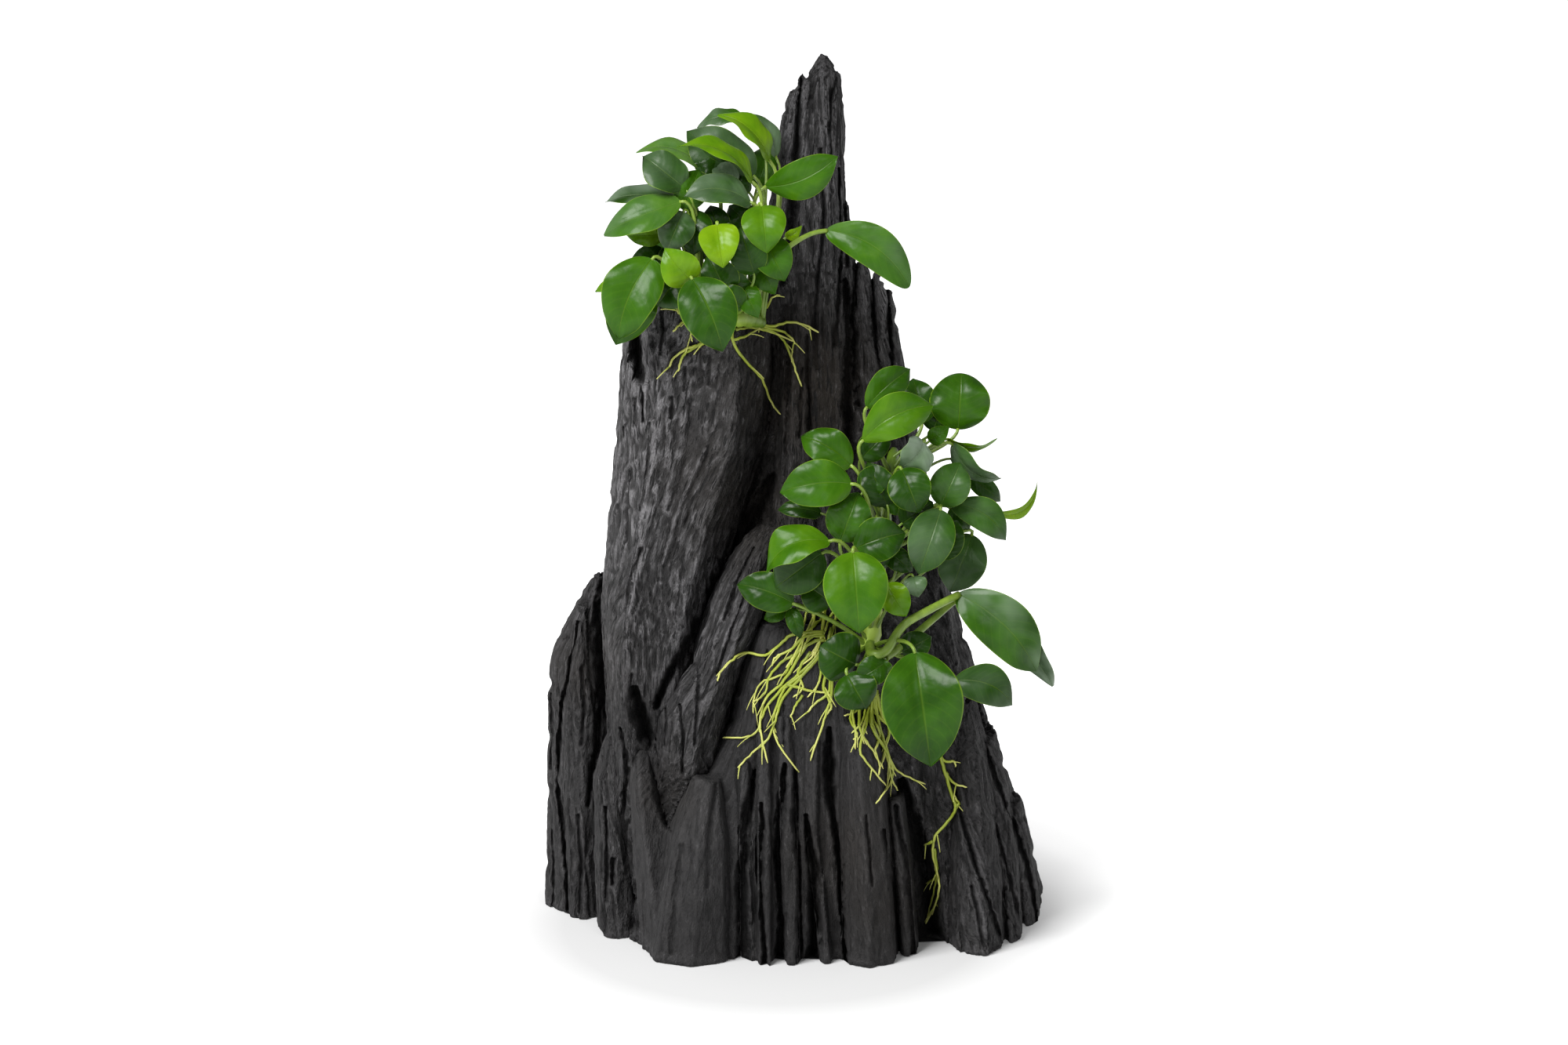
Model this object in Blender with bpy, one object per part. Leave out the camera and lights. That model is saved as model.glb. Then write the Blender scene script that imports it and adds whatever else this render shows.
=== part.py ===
"""Anubias nana grown on a charcoal-dark driftwood stump.

Units are metres, +Z is up, -Y is the side that the plants grow on, and the origin is the middle of the
stump's flat base. The stump is split at its main forks, each plant has a creeping rhizome with its leaf
stalks, bundles of roots, and blades that are solids of their own.
"""
import math
import random

import bmesh
import bpy
from mathutils import Matrix, Vector
from mathutils.bvhtree import BVHTree

# Driving dimensions, in metres
MM = 0.001
JOINT_GAP = 0.35 * MM
STALK_RADIUS = 0.95 * MM
ROOT_RADIUS = 0.85 * MM
BLADE_THICKNESS = 1.3 * MM
BLADE_END_THICKNESS = 0.5 * MM
STALK_TO_BLADE_GAP = 0.9 * MM
WELD_DISTANCE = 0.002 * MM
TRUNK_FACE_SHARE = 0.28
STEM_FACE_SHARES = (0.62, 0.72, 0.82)
SHORT_STALK = 45 * MM
LIFT_STEP = 0.4 * MM
STALK_PUSH = 1.0 * MM
STARTS_A_SPAN = 7
STALK_DROP = 30 * MM
SETTLE_STEP = 1.2 * MM
SETTLE_LIMIT = 40
BLADE_CLEARANCE = 0.3 * MM
CURVE_WELD = 0.01 * MM

# Proportions of the wood's splinters
CORNER_POWER = 0.85
RIDGE_WANDER = 0.35
RAGGED_SHARE = 0.35
HOLLOW_SHARE = 0.8
FULL_RIDGE_DEPTH = 10 * MM
BASE_CUT_SHARE = 3

# Proportions of blades, stalks and roots
BLADE_STATIONS = (0.0, 0.06, 0.24, 0.50, 0.78, 1.0)
FOLD_RISE = 0.16
BLADE_BASE_TAPER = 0.6
OUTLINE_SKEW = 0.72
OUTLINE_POWER = 0.85
STALK_THICK_END = 1.15
STALK_TAPER = 0.3
ROOT_THICK_END = 1.1
ROOT_TAPER = 0.5
CROWN_END_SHARE = 0.6
START_WANDER = 0.6 * MM
STALK_BEND_SHARE = 0.35
STALK_RISE = Vector((0.0, -0.5, 0.8)).normalized()

# Front view that outlines are read in: columns run right and rows run down from the top left corner.
# One column is 0.36 mm at the middle of the stump, seen from 2 m away and 12 degrees above level.
VIEW_STEP = 0.36 * MM
VIEW_DISTANCE = 2.0
VIEW_RISE = math.radians(12.0)
VIEW_TARGET = Vector((-4.2 * MM, 0.0, 185.0 * MM))
VIEW_CENTRE_COLUMN = 1000.0
VIEW_CENTRE_ROW = 666.5
VIEW_FORWARD = Vector((0.0, math.cos(VIEW_RISE), -math.sin(VIEW_RISE)))
VIEW_UP = Vector((0.0, math.sin(VIEW_RISE), math.cos(VIEW_RISE)))
VIEW_EYE = VIEW_TARGET - VIEW_FORWARD * VIEW_DISTANCE
GROUND = None
PROBE = ((0, 0), (-5, 0), (5, 0), (0, -5), (0, 5))

# Materials: linear colour, roughness
WOOD_COLOUR = (0.026, 0.024, 0.024)
WOOD_ROUGHNESS = 0.85
DARK_LEAF = (0.020, 0.100, 0.016)
YOUNG_LEAF = (0.190, 0.420, 0.020)
LEAF_ROUGHNESS = 0.32
STALK_COLOUR = (0.260, 0.420, 0.060)
ROOT_COLOUR = (0.480, 0.600, 0.100)
PLANT_ROUGHNESS = 0.45

# Splinters of wood. Each row of a splinter is (view row, left column, right column, front depth, back depth),
# with depths in millimetres along Y. GROUND in place of the view row is the flat base.
TRUNK = {
    "left_lobe": (16, 3.6, 10.0, [
        (376, 824, 982, -46, 25), (408, 802, 990, -52, 32), (470, 791, 996, -57, 36),
        (545, 788, 985, -60, 40), (610, 780, 960, -62, 44), (700, 772, 930, -64, 48),
        (800, 769, 900, -64, 52), (900, 775, 890, -62, 56), (1000, 780, 900, -58, 60),
        (GROUND, 780, 950, -56, 64)]),
    "right_lobe": (16, 3.6, 6.0, [
        (420, 975, 1128, -22, 44), (466, 962, 1150, -28, 48), (540, 950, 1166, -36, 52),
        (600, 945, 1180, -44, 54), (660, 940, 1193, -50, 56), (720, 930, 1205, -56, 58),
        (780, 920, 1220, -60, 60), (832, 910, 1238, -62, 62), (899, 900, 1252, -64, 64),
        (957, 900, 1268, -64, 66), (GROUND, 895, 1285, -60, 70)]),
    "left_shard": (8, 0.5, 2.0, [
        (407, 802, 812, -28, -14), (431, 796, 815, -34, -8), (470, 790, 818, -36, -4),
        (520, 789, 822, -38, 0)]),
    "spire": (11, 1.4, 1.0, [
        (70, 1047, 1053, 9, 15), (79, 1042, 1059, 5, 18), (97, 1031, 1072, 0, 24),
        (133, 1018, 1074, -4, 28), (165, 1008, 1077, -8, 30), (222, 1000, 1076, -12, 34),
        (262, 992, 1077, -15, 38), (334, 978, 1086, -20, 42), (430, 962, 1100, -28, 45),
        (560, 950, 1120, -38, 48)]),
    "spire_second_tip": (7, 0.6, 0.5, [
        (94, 1022, 1027, 2, 8), (104, 1016, 1034, -2, 12), (130, 1010, 1040, -6, 16),
        (182, 997, 1045, -11, 20), (258, 986, 1045, -17, 20), (380, 970, 1040, -27, 15)]),
    "spire_third_tip": (7, 0.6, 0.5, [
        (117, 1008, 1013, 0, 6), (128, 1003, 1020, -3, 10), (159, 996, 1022, -9, 12),
        (192, 992, 1020, -14, 12), (258, 982, 1015, -20, 10), (334, 971, 1010, -27, 8),
        (420, 958, 1000, -34, 6)]),
    "spire_right_step": (7, 0.6, 1.0, [
        (261, 1075, 1083, 0, 12), (288, 1068, 1084, -5, 18), (334, 1062, 1090, -10, 24),
        (400, 1058, 1097, -17, 28), (480, 1055, 1105, -26, 30)]),
    "shoulder_first": (7, 0.6, 1.0, [
        (334, 1095, 1102, 2, 10), (348, 1090, 1109, -3, 16), (400, 1086, 1114, -10, 24),
        (470, 1082, 1122, -20, 30), (560, 1077, 1135, -33, 36)]),
    "shoulder_second": (7, 0.6, 1.0, [
        (346, 1115, 1121, 8, 16), (366, 1110, 1129, 2, 22), (430, 1106, 1135, -6, 28),
        (520, 1102, 1144, -19, 34), (600, 1098, 1160, -30, 38)]),
    "shoulder_third": (7, 0.6, 1.0, [
        (371, 1131, 1137, 12, 20), (394, 1126, 1139, 6, 26), (437, 1122, 1145, 0, 30),
        (463, 1118, 1152, -3, 34), (540, 1114, 1168, -12, 40), (640, 1110, 1189, -24, 46)]),
    "middle_rib": (7, 0.6, 2.0, [
        (415, 1000, 1020, -28, 0), (470, 995, 1030, -36, 0), (560, 990, 1040, -46, 0),
        (700, 985, 1050, -58, 0), (860, 985, 1060, -66, 0), (1000, 985, 1070, -68, 0)]),
    "right_rib": (7, 0.6, 2.0, [
        (520, 1095, 1130, -34, 0), (620, 1090, 1145, -50, 0), (740, 1085, 1160, -62, 0),
        (880, 1085, 1175, -68, 0), (1030, 1085, 1190, -68, 0), (GROUND, 1085, 1200, -60, 0)]),
    "outer_right_rib": (7, 0.6, 2.0, [
        (700, 1170, 1200, -34, 10), (780, 1165, 1216, -42, 14), (880, 1165, 1238, -50, 18),
        (1000, 1165, 1250, -56, 20), (GROUND, 1165, 1262, -54, 24)]),
}
# Splinters of the side away from the plants: (height, left, right, front, back), all in millimetres
TRUNK_BACK = {
    "rear_left_shard": (8, 0.8, 2.0, [
        (292, -56, -44, 14, 26), (270, -62, -36, 8, 38), (220, -70, -30, 6, 50), (150, -76, -24, 6, 62),
        (0, -88, -20, 8, 72)]),
    "rear_middle_shard": (8, 0.8, 2.0, [
        (246, -16, -4, 38, 50), (222, -24, 4, 32, 60), (160, -30, 10, 30, 72), (80, -36, 16, 30, 80),
        (0, -42, 22, 30, 84)]),
    "rear_right_shard": (8, 0.8, 2.0, [
        (270, 22, 34, 26, 38), (246, 16, 42, 22, 50), (180, 12, 54, 20, 60), (90, 10, 64, 20, 68),
        (0, 8, 74, 20, 74)]),
}
LEFT_ROOT = {
    "outer": (9, 1.3, 2.0, [
        (731, 763, 771, 8, 20), (751, 747, 776, 2, 30), (781, 732, 782, -2, 36), (800, 719, 786, -4, 40),
        (831, 705, 790, -6, 42), (872, 700, 795, -7, 44), (934, 699, 800, -8, 46),
        (1030, 698, 805, -9, 48), (GROUND, 695, 810, -10, 50)]),
    "front": (8, 1.0, 1.0, [
        (768, 739, 747, -3, 8), (791, 733, 751, -9, 14), (856, 727, 755, -13, 18),
        (925, 719, 769, -17, 20), (1000, 718, 770, -19, 22), (GROUND, 724, 770, -17, 24)]),
    "inner": (8, 1.0, 1.0, [
        (915, 786, 794, -34, -22), (941, 774, 800, -40, -14), (988, 760, 806, -45, -8),
        (1080, 760, 812, -49, -4), (GROUND, 764, 817, -48, 0)]),
}
LEANING_ROOT = {
    "ridge": (9, 1.4, 2.0, [
        (669, 980, 994, -54, -40), (685, 951, 994, -60, -34), (703, 938, 991, -64, -30),
        (740, 918, 984, -68, -26), (792, 897, 970, -71, -22), (841, 883, 948, -73, -20),
        (872, 858, 938, -74, -20), (904, 836, 930, -74, -20), (950, 835, 918, -73, -20),
        (1000, 842, 905, -70, -20), (GROUND, 850, 900, -62, -20)]),
}
FRONT_ROOT = {
    "apron": (12, 1.6, 3.0, [
        (791, 972, 1062, -70, -42), (810, 963, 1080, -72, -38), (859, 947, 1100, -75, -34),
        (904, 937, 1116, -77, -30), (930, 926, 1122, -78, -30), (970, 901, 1132, -79, -28),
        (1028, 856, 1142, -81, -26), (1100, 838, 1150, -82, -24), (GROUND, 826, 1156, -79, -22)]),
    "small_shard": (7, 0.6, 1.0, [
        (940, 818, 825, -54, -46), (955, 807, 831, -60, -38), (990, 803, 842, -66, -30),
        (1080, 806, 870, -72, -26), (GROUND, 818, 890, -74, -24)]),
    "rib_1": (8, 0.8, 2.0, [
        (985, 884, 920, -82, -50), (1060, 852, 936, -89, -45), (1130, 838, 940, -90, -40),
        (GROUND, 824, 940, -87, -35)]),
    "rib_2": (6, 0.4, 2.0, [
        (960, 940, 958, -82, -50), (1080, 941, 962, -86, -50), (GROUND, 942, 963, -83, -50)]),
    "rib_3": (6, 0.4, 2.0, [
        (925, 962, 985, -80, -50), (1060, 964, 987, -89, -50), (GROUND, 965, 987, -88, -50)]),
    "rib_4": (6, 0.4, 2.0, [
        (905, 988, 1012, -80, -50), (1060, 992, 1022, -89, -50), (GROUND, 1001, 1023, -87, -50)]),
    "rib_5": (6, 0.4, 2.0, [
        (930, 1020, 1050, -81, -50), (1050, 1024, 1046, -87, -50), (GROUND, 1044, 1064, -85, -50)]),
    "rib_6": (8, 0.8, 2.0, [
        (915, 1070, 1118, -80, -50), (1000, 1066, 1130, -86, -45), (1100, 1066, 1140, -91, -40),
        (GROUND, 1067, 1147, -89, -35)]),
    "rib_7": (6, 0.4, 1.0, [
        (1010, 1130, 1152, -74, -45), (1110, 1140, 1164, -78, -40), (GROUND, 1146, 1171, -74, -35)]),
}
RIGHT_ROOT = {
    "fan_1": (9, 1.4, 2.0, [
        (880, 1212, 1240, -40, 0), (930, 1208, 1254, -50, 5), (1000, 1204, 1268, -60, 8),
        (1090, 1202, 1280, -68, 10), (GROUND, 1203, 1284, -72, 12)]),
    "fan_2": (7, 0.7, 2.0, [
        (930, 1240, 1268, -30, 10), (991, 1252, 1286, -40, 14), (1080, 1266, 1298, -50, 16),
        (GROUND, 1274, 1303, -54, 18)]),
    "fan_3": (7, 0.6, 1.0, [
        (1013, 1290, 1300, -22, -8), (1031, 1284, 1306, -28, 6), (1069, 1284, 1315, -32, 14),
        (1120, 1290, 1324, -32, 20), (GROUND, 1296, 1325, -27, 26)]),
    "fan_4": (8, 1.2, 2.0, [
        (940, 1240, 1266, 0, 36), (1000, 1250, 1288, -6, 44), (1069, 1262, 1310, -8, 50),
        (1120, 1270, 1326, -8, 54), (GROUND, 1276, 1330, -6, 58)]),
}
BACK_LEFT_ROOT = {
    "wide": (9, 1.4, 3.0, [
        (150, -84, -60, 30, 50), (125, -92, -54, 24, 60), (70, -100, -48, 20, 72),
        (0, -106, -40, 18, 80)]),
    "narrow": (7, 0.7, 2.0, [
        (110, -46, -30, 56, 72), (80, -54, -24, 50, 80), (40, -58, -18, 48, 86), (0, -62, -14, 46, 89)]),
}
BACK_RIGHT_ROOT = {
    "wide": (9, 1.4, 3.0, [
        (170, 44, 62, 34, 54), (140, 38, 72, 28, 62), (80, 30, 84, 24, 72), (0, 24, 96, 22, 80)]),
    "narrow": (7, 0.7, 2.0, [(95, 0, 16, 66, 80), (60, -6, 24, 58, 86), (0, -12, 32, 54, 90)]),
    "outer": (7, 0.7, 2.0, [(100, 74, 86, 20, 40), (70, 70, 96, 14, 52), (0, 64, 108, 10, 62)]),
}

# Rhizomes: (column, row, radius in millimetres) along the stem, which lies on the wood
UPPER_RHIZOME = [(890, 412, 2.4), (912, 408, 3.4), (935, 406, 3.8), (957, 408, 3.4), (972, 412, 2.2)]
LOWER_RHIZOME = [
    (1109, 827, 4.2), (1113, 796, 4.2), (1116, 745, 4.0), (1122, 690, 3.8), (1130, 640, 3.6),
    (1136, 600, 3.2),
    (1140, 575, 2.2)]

# Leaves: base column, row, depth; tip column, row, depth; width in columns; roll in degrees; arch in
# millimetres
UPPER_LEAVES = {
    "front_left": (832, 330, -66, 788, 432, -72, 72, 10, 4),
    "behind_front_left": (818, 350, -52, 786, 440, -58, 60, -10, 4),
    "front_middle": (883, 356, -74, 922, 448, -84, 70, 0, 5),
    "left_high": (868, 257, -55, 769, 297, -58, 50, 30, 4),
    "left_grey": (865, 255, -44, 772, 256, -40, 44, 55, 4),
    "left_top": (873, 240, -50, 820, 198, -46, 50, 25, 4),
    "top_far_left": (900, 215, -32, 812, 192, -26, 44, 55, 6),
    "arched_bright": (960, 232, -42, 868, 183, -50, 40, 55, 7),
    "top_dark": (962, 225, -30, 877, 165, -26, 54, 15, 5),
    "top_yellow": (982, 205, -26, 920, 143, -28, 44, 50, 6),
    "before_spire": (976, 238, -40, 1068, 200, -46, 50, 10, 4),
    "heart": (972, 262, -60, 978, 322, -68, 55, 0, 4),
    "bright_heart": (915, 286, -68, 922, 341, -76, 50, 0, 3),
    "bright_cupped": (884, 360, -74, 848, 318, -76, 46, -10, 3),
    "dark_low_left": (868, 352, -58, 838, 390, -62, 46, 0, 3),
    "middle_grey": (958, 258, -50, 874, 248, -58, 46, 40, 4),
    "right_low": (975, 305, -56, 1001, 358, -62, 46, 0, 4),
    "right_lowest": (945, 362, -58, 967, 405, -64, 36, 0, 3),
    "low_dark": (903, 345, -60, 957, 362, -62, 34, 20, 3),
    "long_stalked": (1054, 293, -38, 1160, 366, -42, 52, 5, 5),
}
LOWER_LEAVES = {
    "top_left": (1105, 520, -50, 1162, 471, -44, 42, 10, 4),
    "top_large": (1100, 562, -70, 1190, 517, -66, 50, 5, 5),
    "top_round": (1222, 548, -42, 1226, 476, -38, 76, 0, 4),
    "top_dark": (1176, 540, -40, 1165, 482, -34, 46, 0, 4),
    "curled": (1178, 563, -66, 1147, 598, -72, 46, -25, 4),
    "right_grey": (1215, 566, -52, 1276, 612, -50, 40, 55, 6),
    "upper_middle": (1200, 645, -64, 1225, 590, -60, 48, 0, 4),
    "dark_middle": (1150, 598, -74, 1172, 654, -80, 50, 0, 4),
    "far_right_curl": (1262, 652, -40, 1325, 617, -38, 22, 40, -5),
    "right_drip": (1214, 642, -58, 1283, 690, -58, 42, 10, 4),
    "right_hanging": (1240, 682, -42, 1212, 755, -48, 54, 0, 4),
    "centre_right": (1200, 650, -76, 1172, 732, -84, 57, 0, 5),
    "centre_low": (1090, 700, -86, 1155, 680, -84, 48, 0, 4),
    "centre_high": (1072, 690, -84, 1095, 628, -80, 54, 0, 4),
    "left_high": (1086, 617, -84, 995, 628, -86, 56, 5, 5),
    "left_top": (1086, 594, -70, 1022, 556, -66, 44, 5, 4),
    "left_arched": (1058, 690, -92, 976, 728, -92, 50, 35, 7),
    "left_dark": (1049, 705, -84, 988, 750, -84, 52, 0, 4),
    "far_left": (1012, 770, -80, 940, 745, -76, 44, 0, 4),
    "bright_front": (1088, 704, -100, 1096, 808, -108, 77, 0, 5),
    "bright_pointed": (1130, 745, -88, 1156, 786, -92, 36, 0, 3),
    "right_large": (1222, 757, -74, 1322, 857, -74, 62, 5, 6),
    "right_large_behind": (1240, 755, -62, 1342, 877, -58, 46, 45, 6),
    "right_dark": (1216, 868, -80, 1292, 900, -78, 46, 5, 4),
    "largest": (1167, 832, -104, 1187, 978, -114, 98, 0, 7),
    "round_dark": (1092, 848, -88, 1046, 824, -90, 56, 0, 3),
    "low_dark": (1080, 860, -92, 1105, 904, -96, 48, 0, 3),
}
# Waypoints of the stalks that take a way of their own, as (column, row, depth)
STALK_WAYS = {
    "long_stalked": [(968, 372, -48), (985, 335, -50), (1010, 312, -46), (1035, 298, -41)],
    "right_large": [(1112, 834, -90), (1130, 830, -92), (1152, 798, -90), (1187, 777, -84)],
    "right_large_behind": [
        (1112, 838, -90), (1130, 838, -86), (1157, 818, -80), (1190, 790, -70), (1220, 765, -64)],
}
YOUNG_LEAVES = (
    "upper_leaf_arched_bright", "upper_leaf_top_yellow", "upper_leaf_bright_heart",
    "upper_leaf_bright_cupped", "lower_leaf_far_right_curl", "lower_leaf_left_arched",
    "lower_leaf_bright_front", "lower_leaf_bright_pointed")

# Roots: chains of (column, row) down the wood; the first point of each is on the bundle's crown
UPPER_ROOTS = {
    "crown": (936, 420, 2.0),
    "strands": [
        [(938, 404), (960, 411), (984, 416), (1007, 411), (1044, 424)],
        [(938, 404), (970, 416), (998, 423), (1015, 439)],
        [(938, 408), (968, 418), (993, 427), (1007, 450), (1015, 473), (1023, 493)],
        [(935, 410), (935, 436), (952, 462), (972, 484), (984, 513), (995, 528)],
        [(933, 408), (905, 428), (896, 439), (878, 444), (860, 456), (853, 469)],
        [(930, 404), (900, 418), (882, 424), (866, 440)]]}
LOWER_LEFT_ROOTS = {
    "crown": (1062, 822, 2.6),
    "strands": [
        [(1052, 806), (1012, 809), (999, 818), (976, 836), (950, 832), (932, 844), (915, 869)],
        [(1052, 812), (1033, 814), (1010, 844), (999, 860), (971, 871), (962, 890), (961, 910)],
        [(1052, 816), (1029, 824), (1001, 867), (976, 892), (979, 930)],
        [(1055, 820), (1030, 850), (1003, 873), (980, 899), (964, 935), (946, 941), (921, 941)],
        [(1058, 822), (1024, 860), (1001, 878), (987, 913), (996, 954), (1019, 985)],
        [(1056, 824), (1018, 868), (999, 890), (980, 942), (941, 979)],
        [(1062, 822), (1061, 883), (1056, 903), (1047, 931), (1033, 970)]]}
LOWER_MIDDLE_ROOTS = {
    "crown": (1112, 870, 2.4),
    "strands": [
        [(1108, 874), (1088, 903), (1091, 956)],
        [(1110, 876), (1107, 913), (1097, 956), (1130, 1002)],
        [(1112, 878), (1109, 919), (1130, 958), (1143, 981), (1180, 1000)],
        [(1114, 878), (1113, 924), (1132, 961), (1139, 987), (1117, 1025)],
        [(1116, 876), (1120, 913), (1136, 987), (1145, 1009)]]}
LOWER_LONG_ROOT = {
    "crown": (1180, 930, 1.8),
    "strands": [
        [(1182, 932), (1200, 968), (1206, 987), (1216, 1019), (1219, 1032), (1209, 1048), (1193, 1067),
         (1190, 1086), (1193, 1105), (1198, 1130), (1193, 1153), (1181, 1178)],
        [(1184, 936), (1203, 969), (1216, 971), (1225, 978)],
        [(1208, 990), (1211, 993), (1219, 1000), (1233, 1004)]]}


def from_view(column, row, depth):
    """Point at a given Y that the front view shows at this column and row."""
    right = Vector((1.0, 0.0, 0.0)) * ((column - VIEW_CENTRE_COLUMN) * VIEW_STEP)
    rise = VIEW_UP * ((VIEW_CENTRE_ROW - row) * VIEW_STEP)
    ray = VIEW_FORWARD * VIEW_DISTANCE + right + rise
    return VIEW_EYE + ray * ((depth - VIEW_EYE.y) / ray.y)


def ground_row(depth):
    """View row of the flat base at a given Y."""
    offset = Vector((0.0, depth, 0.0)) - VIEW_EYE
    offset.x = 0.0
    return VIEW_CENTRE_ROW - offset.dot(VIEW_UP) / offset.dot(VIEW_FORWARD) * VIEW_DISTANCE / VIEW_STEP


def clear_scene():
    for item in list(bpy.data.objects):
        bpy.data.objects.remove(item, do_unlink=True)
    for item in list(bpy.data.collections):
        bpy.data.collections.remove(item)


def new_object(name, mesh, collection):
    item = bpy.data.objects.new(name, mesh)
    collection.objects.link(item)
    return item


def material(name, colour, roughness):
    made = bpy.data.materials.new(name)
    made.use_nodes = True
    shader = made.node_tree.nodes["Principled BSDF"]
    shader.inputs["Base Color"].default_value = (*colour, 1.0)
    shader.inputs["Roughness"].default_value = roughness
    shader.inputs["Metallic"].default_value = 0.0
    return made


def loft(rings, name, collection, tip_drop=0.0):
    """Closed skin over rings of points; the first ring is closed by a fan, the last by one flat face."""
    sides = len(rings[0])
    mesh = bmesh.new()
    layers = [[mesh.verts.new(point) for point in ring] for ring in rings]
    for upper, lower in zip(layers, layers[1:]):
        for k in range(sides):
            following = (k + 1) % sides
            mesh.faces.new((upper[k], upper[following], lower[following], lower[k]))
    middle = sum((Vector(point) for point in rings[0]), Vector()) / sides
    hub = mesh.verts.new(middle - Vector((0.0, 0.0, tip_drop)))
    for k in range(sides):
        mesh.faces.new((layers[0][k], hub, layers[0][(k + 1) % sides]))
    mesh.faces.new(layers[-1])
    bmesh.ops.recalc_face_normals(mesh, faces=mesh.faces)
    bmesh.ops.triangulate(mesh, faces=mesh.faces)
    data = bpy.data.meshes.new(name)
    mesh.to_mesh(data)
    mesh.free()
    return new_object(name, data, collection)


def row_in_space(row):
    """Height, left, right, front and back, in metres, of a splinter's row read in the front view."""
    level, left, right, front, back = row
    middle = (front + back) / 2 * MM
    if level is GROUND:
        level = ground_row(middle)
        height = 0.0
    else:
        height = from_view(left, level, middle).z
    left_side = from_view(left, level, middle).x
    right_side = from_view(right, level, middle).x
    return (height, left_side, right_side, front * MM, back * MM)


def splinter(name, plan, collection, read_row, grow=0.0):
    """One tapering length of wood with ridges that follow the grain and a ragged upper end."""
    sides, ridge, hollow, rows = plan
    draw = random.Random("ridges of " + name)
    ridges = [draw.uniform(-1.0, 1.0) for _ in range(sides)]
    rings = []
    for number, row in enumerate(rows):
        height, left, right, front, back = read_row(row)
        half_width = (right - left) / 2
        half_depth = (back - front) / 2
        ring = []
        for k in range(sides):
            turn = 2 * math.pi * k / sides
            cosine = math.copysign(abs(math.cos(turn)) ** CORNER_POWER, math.cos(turn))
            sine = math.copysign(abs(math.sin(turn)) ** CORNER_POWER, math.sin(turn))
            bite = ridge * MM * (ridges[k] + RIDGE_WANDER * draw.uniform(-1.0, 1.0)) * abs(math.sin(turn))
            bite *= min(1.0, half_depth / FULL_RIDGE_DEPTH)
            ragged = 0.0
            if number == 0:
                ragged = RAGGED_SHARE * hollow * MM * draw.uniform(-1.0, 0.4)
            x = (left + right) / 2 + (half_width + bite + grow) * cosine
            y = (front + back) / 2 + (half_depth + bite + grow) * sine
            z = height + ragged + (grow if number == 0 else 0.0)
            if height == 0.0:
                z = -BASE_CUT_SHARE * grow
            ring.append((x, y, z))
        rings.append(ring)
    return loft(rings, name, collection, tip_drop=hollow * MM * HOLLOW_SHARE)


def bake(item):
    """Replace an object's mesh by what its modifiers make of it."""
    depsgraph = bpy.context.evaluated_depsgraph_get()
    depsgraph.update()
    result = bpy.data.meshes.new_from_object(item.evaluated_get(depsgraph))
    item.modifiers.clear()
    item.data = result


def measure(data):
    """Volume of a mesh, how many bodies it has, and whether every edge has its two faces."""
    mesh = bmesh.new()
    mesh.from_mesh(data)
    closed = all(len(edge.link_faces) == 2 for edge in mesh.edges)
    volume = mesh.calc_volume()
    count = len(bodies_of(mesh))
    mesh.free()
    return volume, count, closed


def combine(item, other, operation):
    """Boolean of two closed solids, baked into the first; the second is removed."""
    before = item.data
    volume, count, _ = measure(before)
    for solver in ("EXACT", "MANIFOLD"):
        item.data = before
        step = item.modifiers.new("join", "BOOLEAN")
        step.operation = operation
        step.solver = solver
        step.object = other
        bake(item)
        new_volume, new_count, closed = measure(item.data)
        grown = new_volume > volume * 0.999
        if closed and (operation == "DIFFERENCE" or (grown and new_count == count)):
            break
    bpy.data.objects.remove(other, do_unlink=True)


def thin_out(item, share):
    """Bring a solid down to a share of its faces."""
    step = item.modifiers.new("thin", "DECIMATE")
    step.ratio = share
    bake(item)


def bodies_of(mesh):
    """Vertices of each connected body, the largest first."""
    unseen = set(mesh.verts)
    bodies = []
    while unseen:
        stack = [unseen.pop()]
        body = set(stack)
        while stack:
            for edge in stack.pop().link_edges:
                for vertex in edge.verts:
                    if vertex in unseen:
                        unseen.remove(vertex)
                        body.add(vertex)
                        stack.append(vertex)
        bodies.append(body)
    return sorted(bodies, key=len, reverse=True)


def thin_if_clear(item, neighbours):
    """Bring a solid of fine stems down to fewer faces while it stays whole and clear of its neighbours."""
    before = item.data
    bodies = measure(before)[1]
    for share in STEM_FACE_SHARES:
        thin_out(item, share)
        _, count, closed = measure(item.data)
        tree = surface_tree([item])
        if closed and count == bodies and not touched(tree, neighbours):
            return
        item.data = before


def keep_main_body(item):
    """Drop the loose chips that a cut leaves, and weld what is left."""
    mesh = bmesh.new()
    mesh.from_mesh(item.data)
    bmesh.ops.remove_doubles(mesh, verts=mesh.verts, dist=WELD_DISTANCE)
    bmesh.ops.dissolve_degenerate(mesh, edges=mesh.edges, dist=WELD_DISTANCE)
    for body in bodies_of(mesh)[1:]:
        bmesh.ops.delete(mesh, geom=list(body), context="VERTS")
    bmesh.ops.triangulate(mesh, faces=mesh.faces)
    mesh.to_mesh(item.data)
    mesh.free()


def bundle(name, plans, collection, grow=0.0):
    """Several splinters grown together as one solid."""
    whole = None
    for plan_name, (plan, read_row) in plans.items():
        piece = splinter(plan_name, plan, collection, read_row, grow)
        if whole is None:
            whole = piece
        else:
            combine(whole, piece, "UNION")
    whole.name = name
    return whole


def with_reader(plans, read_row):
    return {name: (plan, read_row) for name, plan in plans.items()}


def row_in_millimetres(row):
    return tuple(value * MM for value in row)


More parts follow.
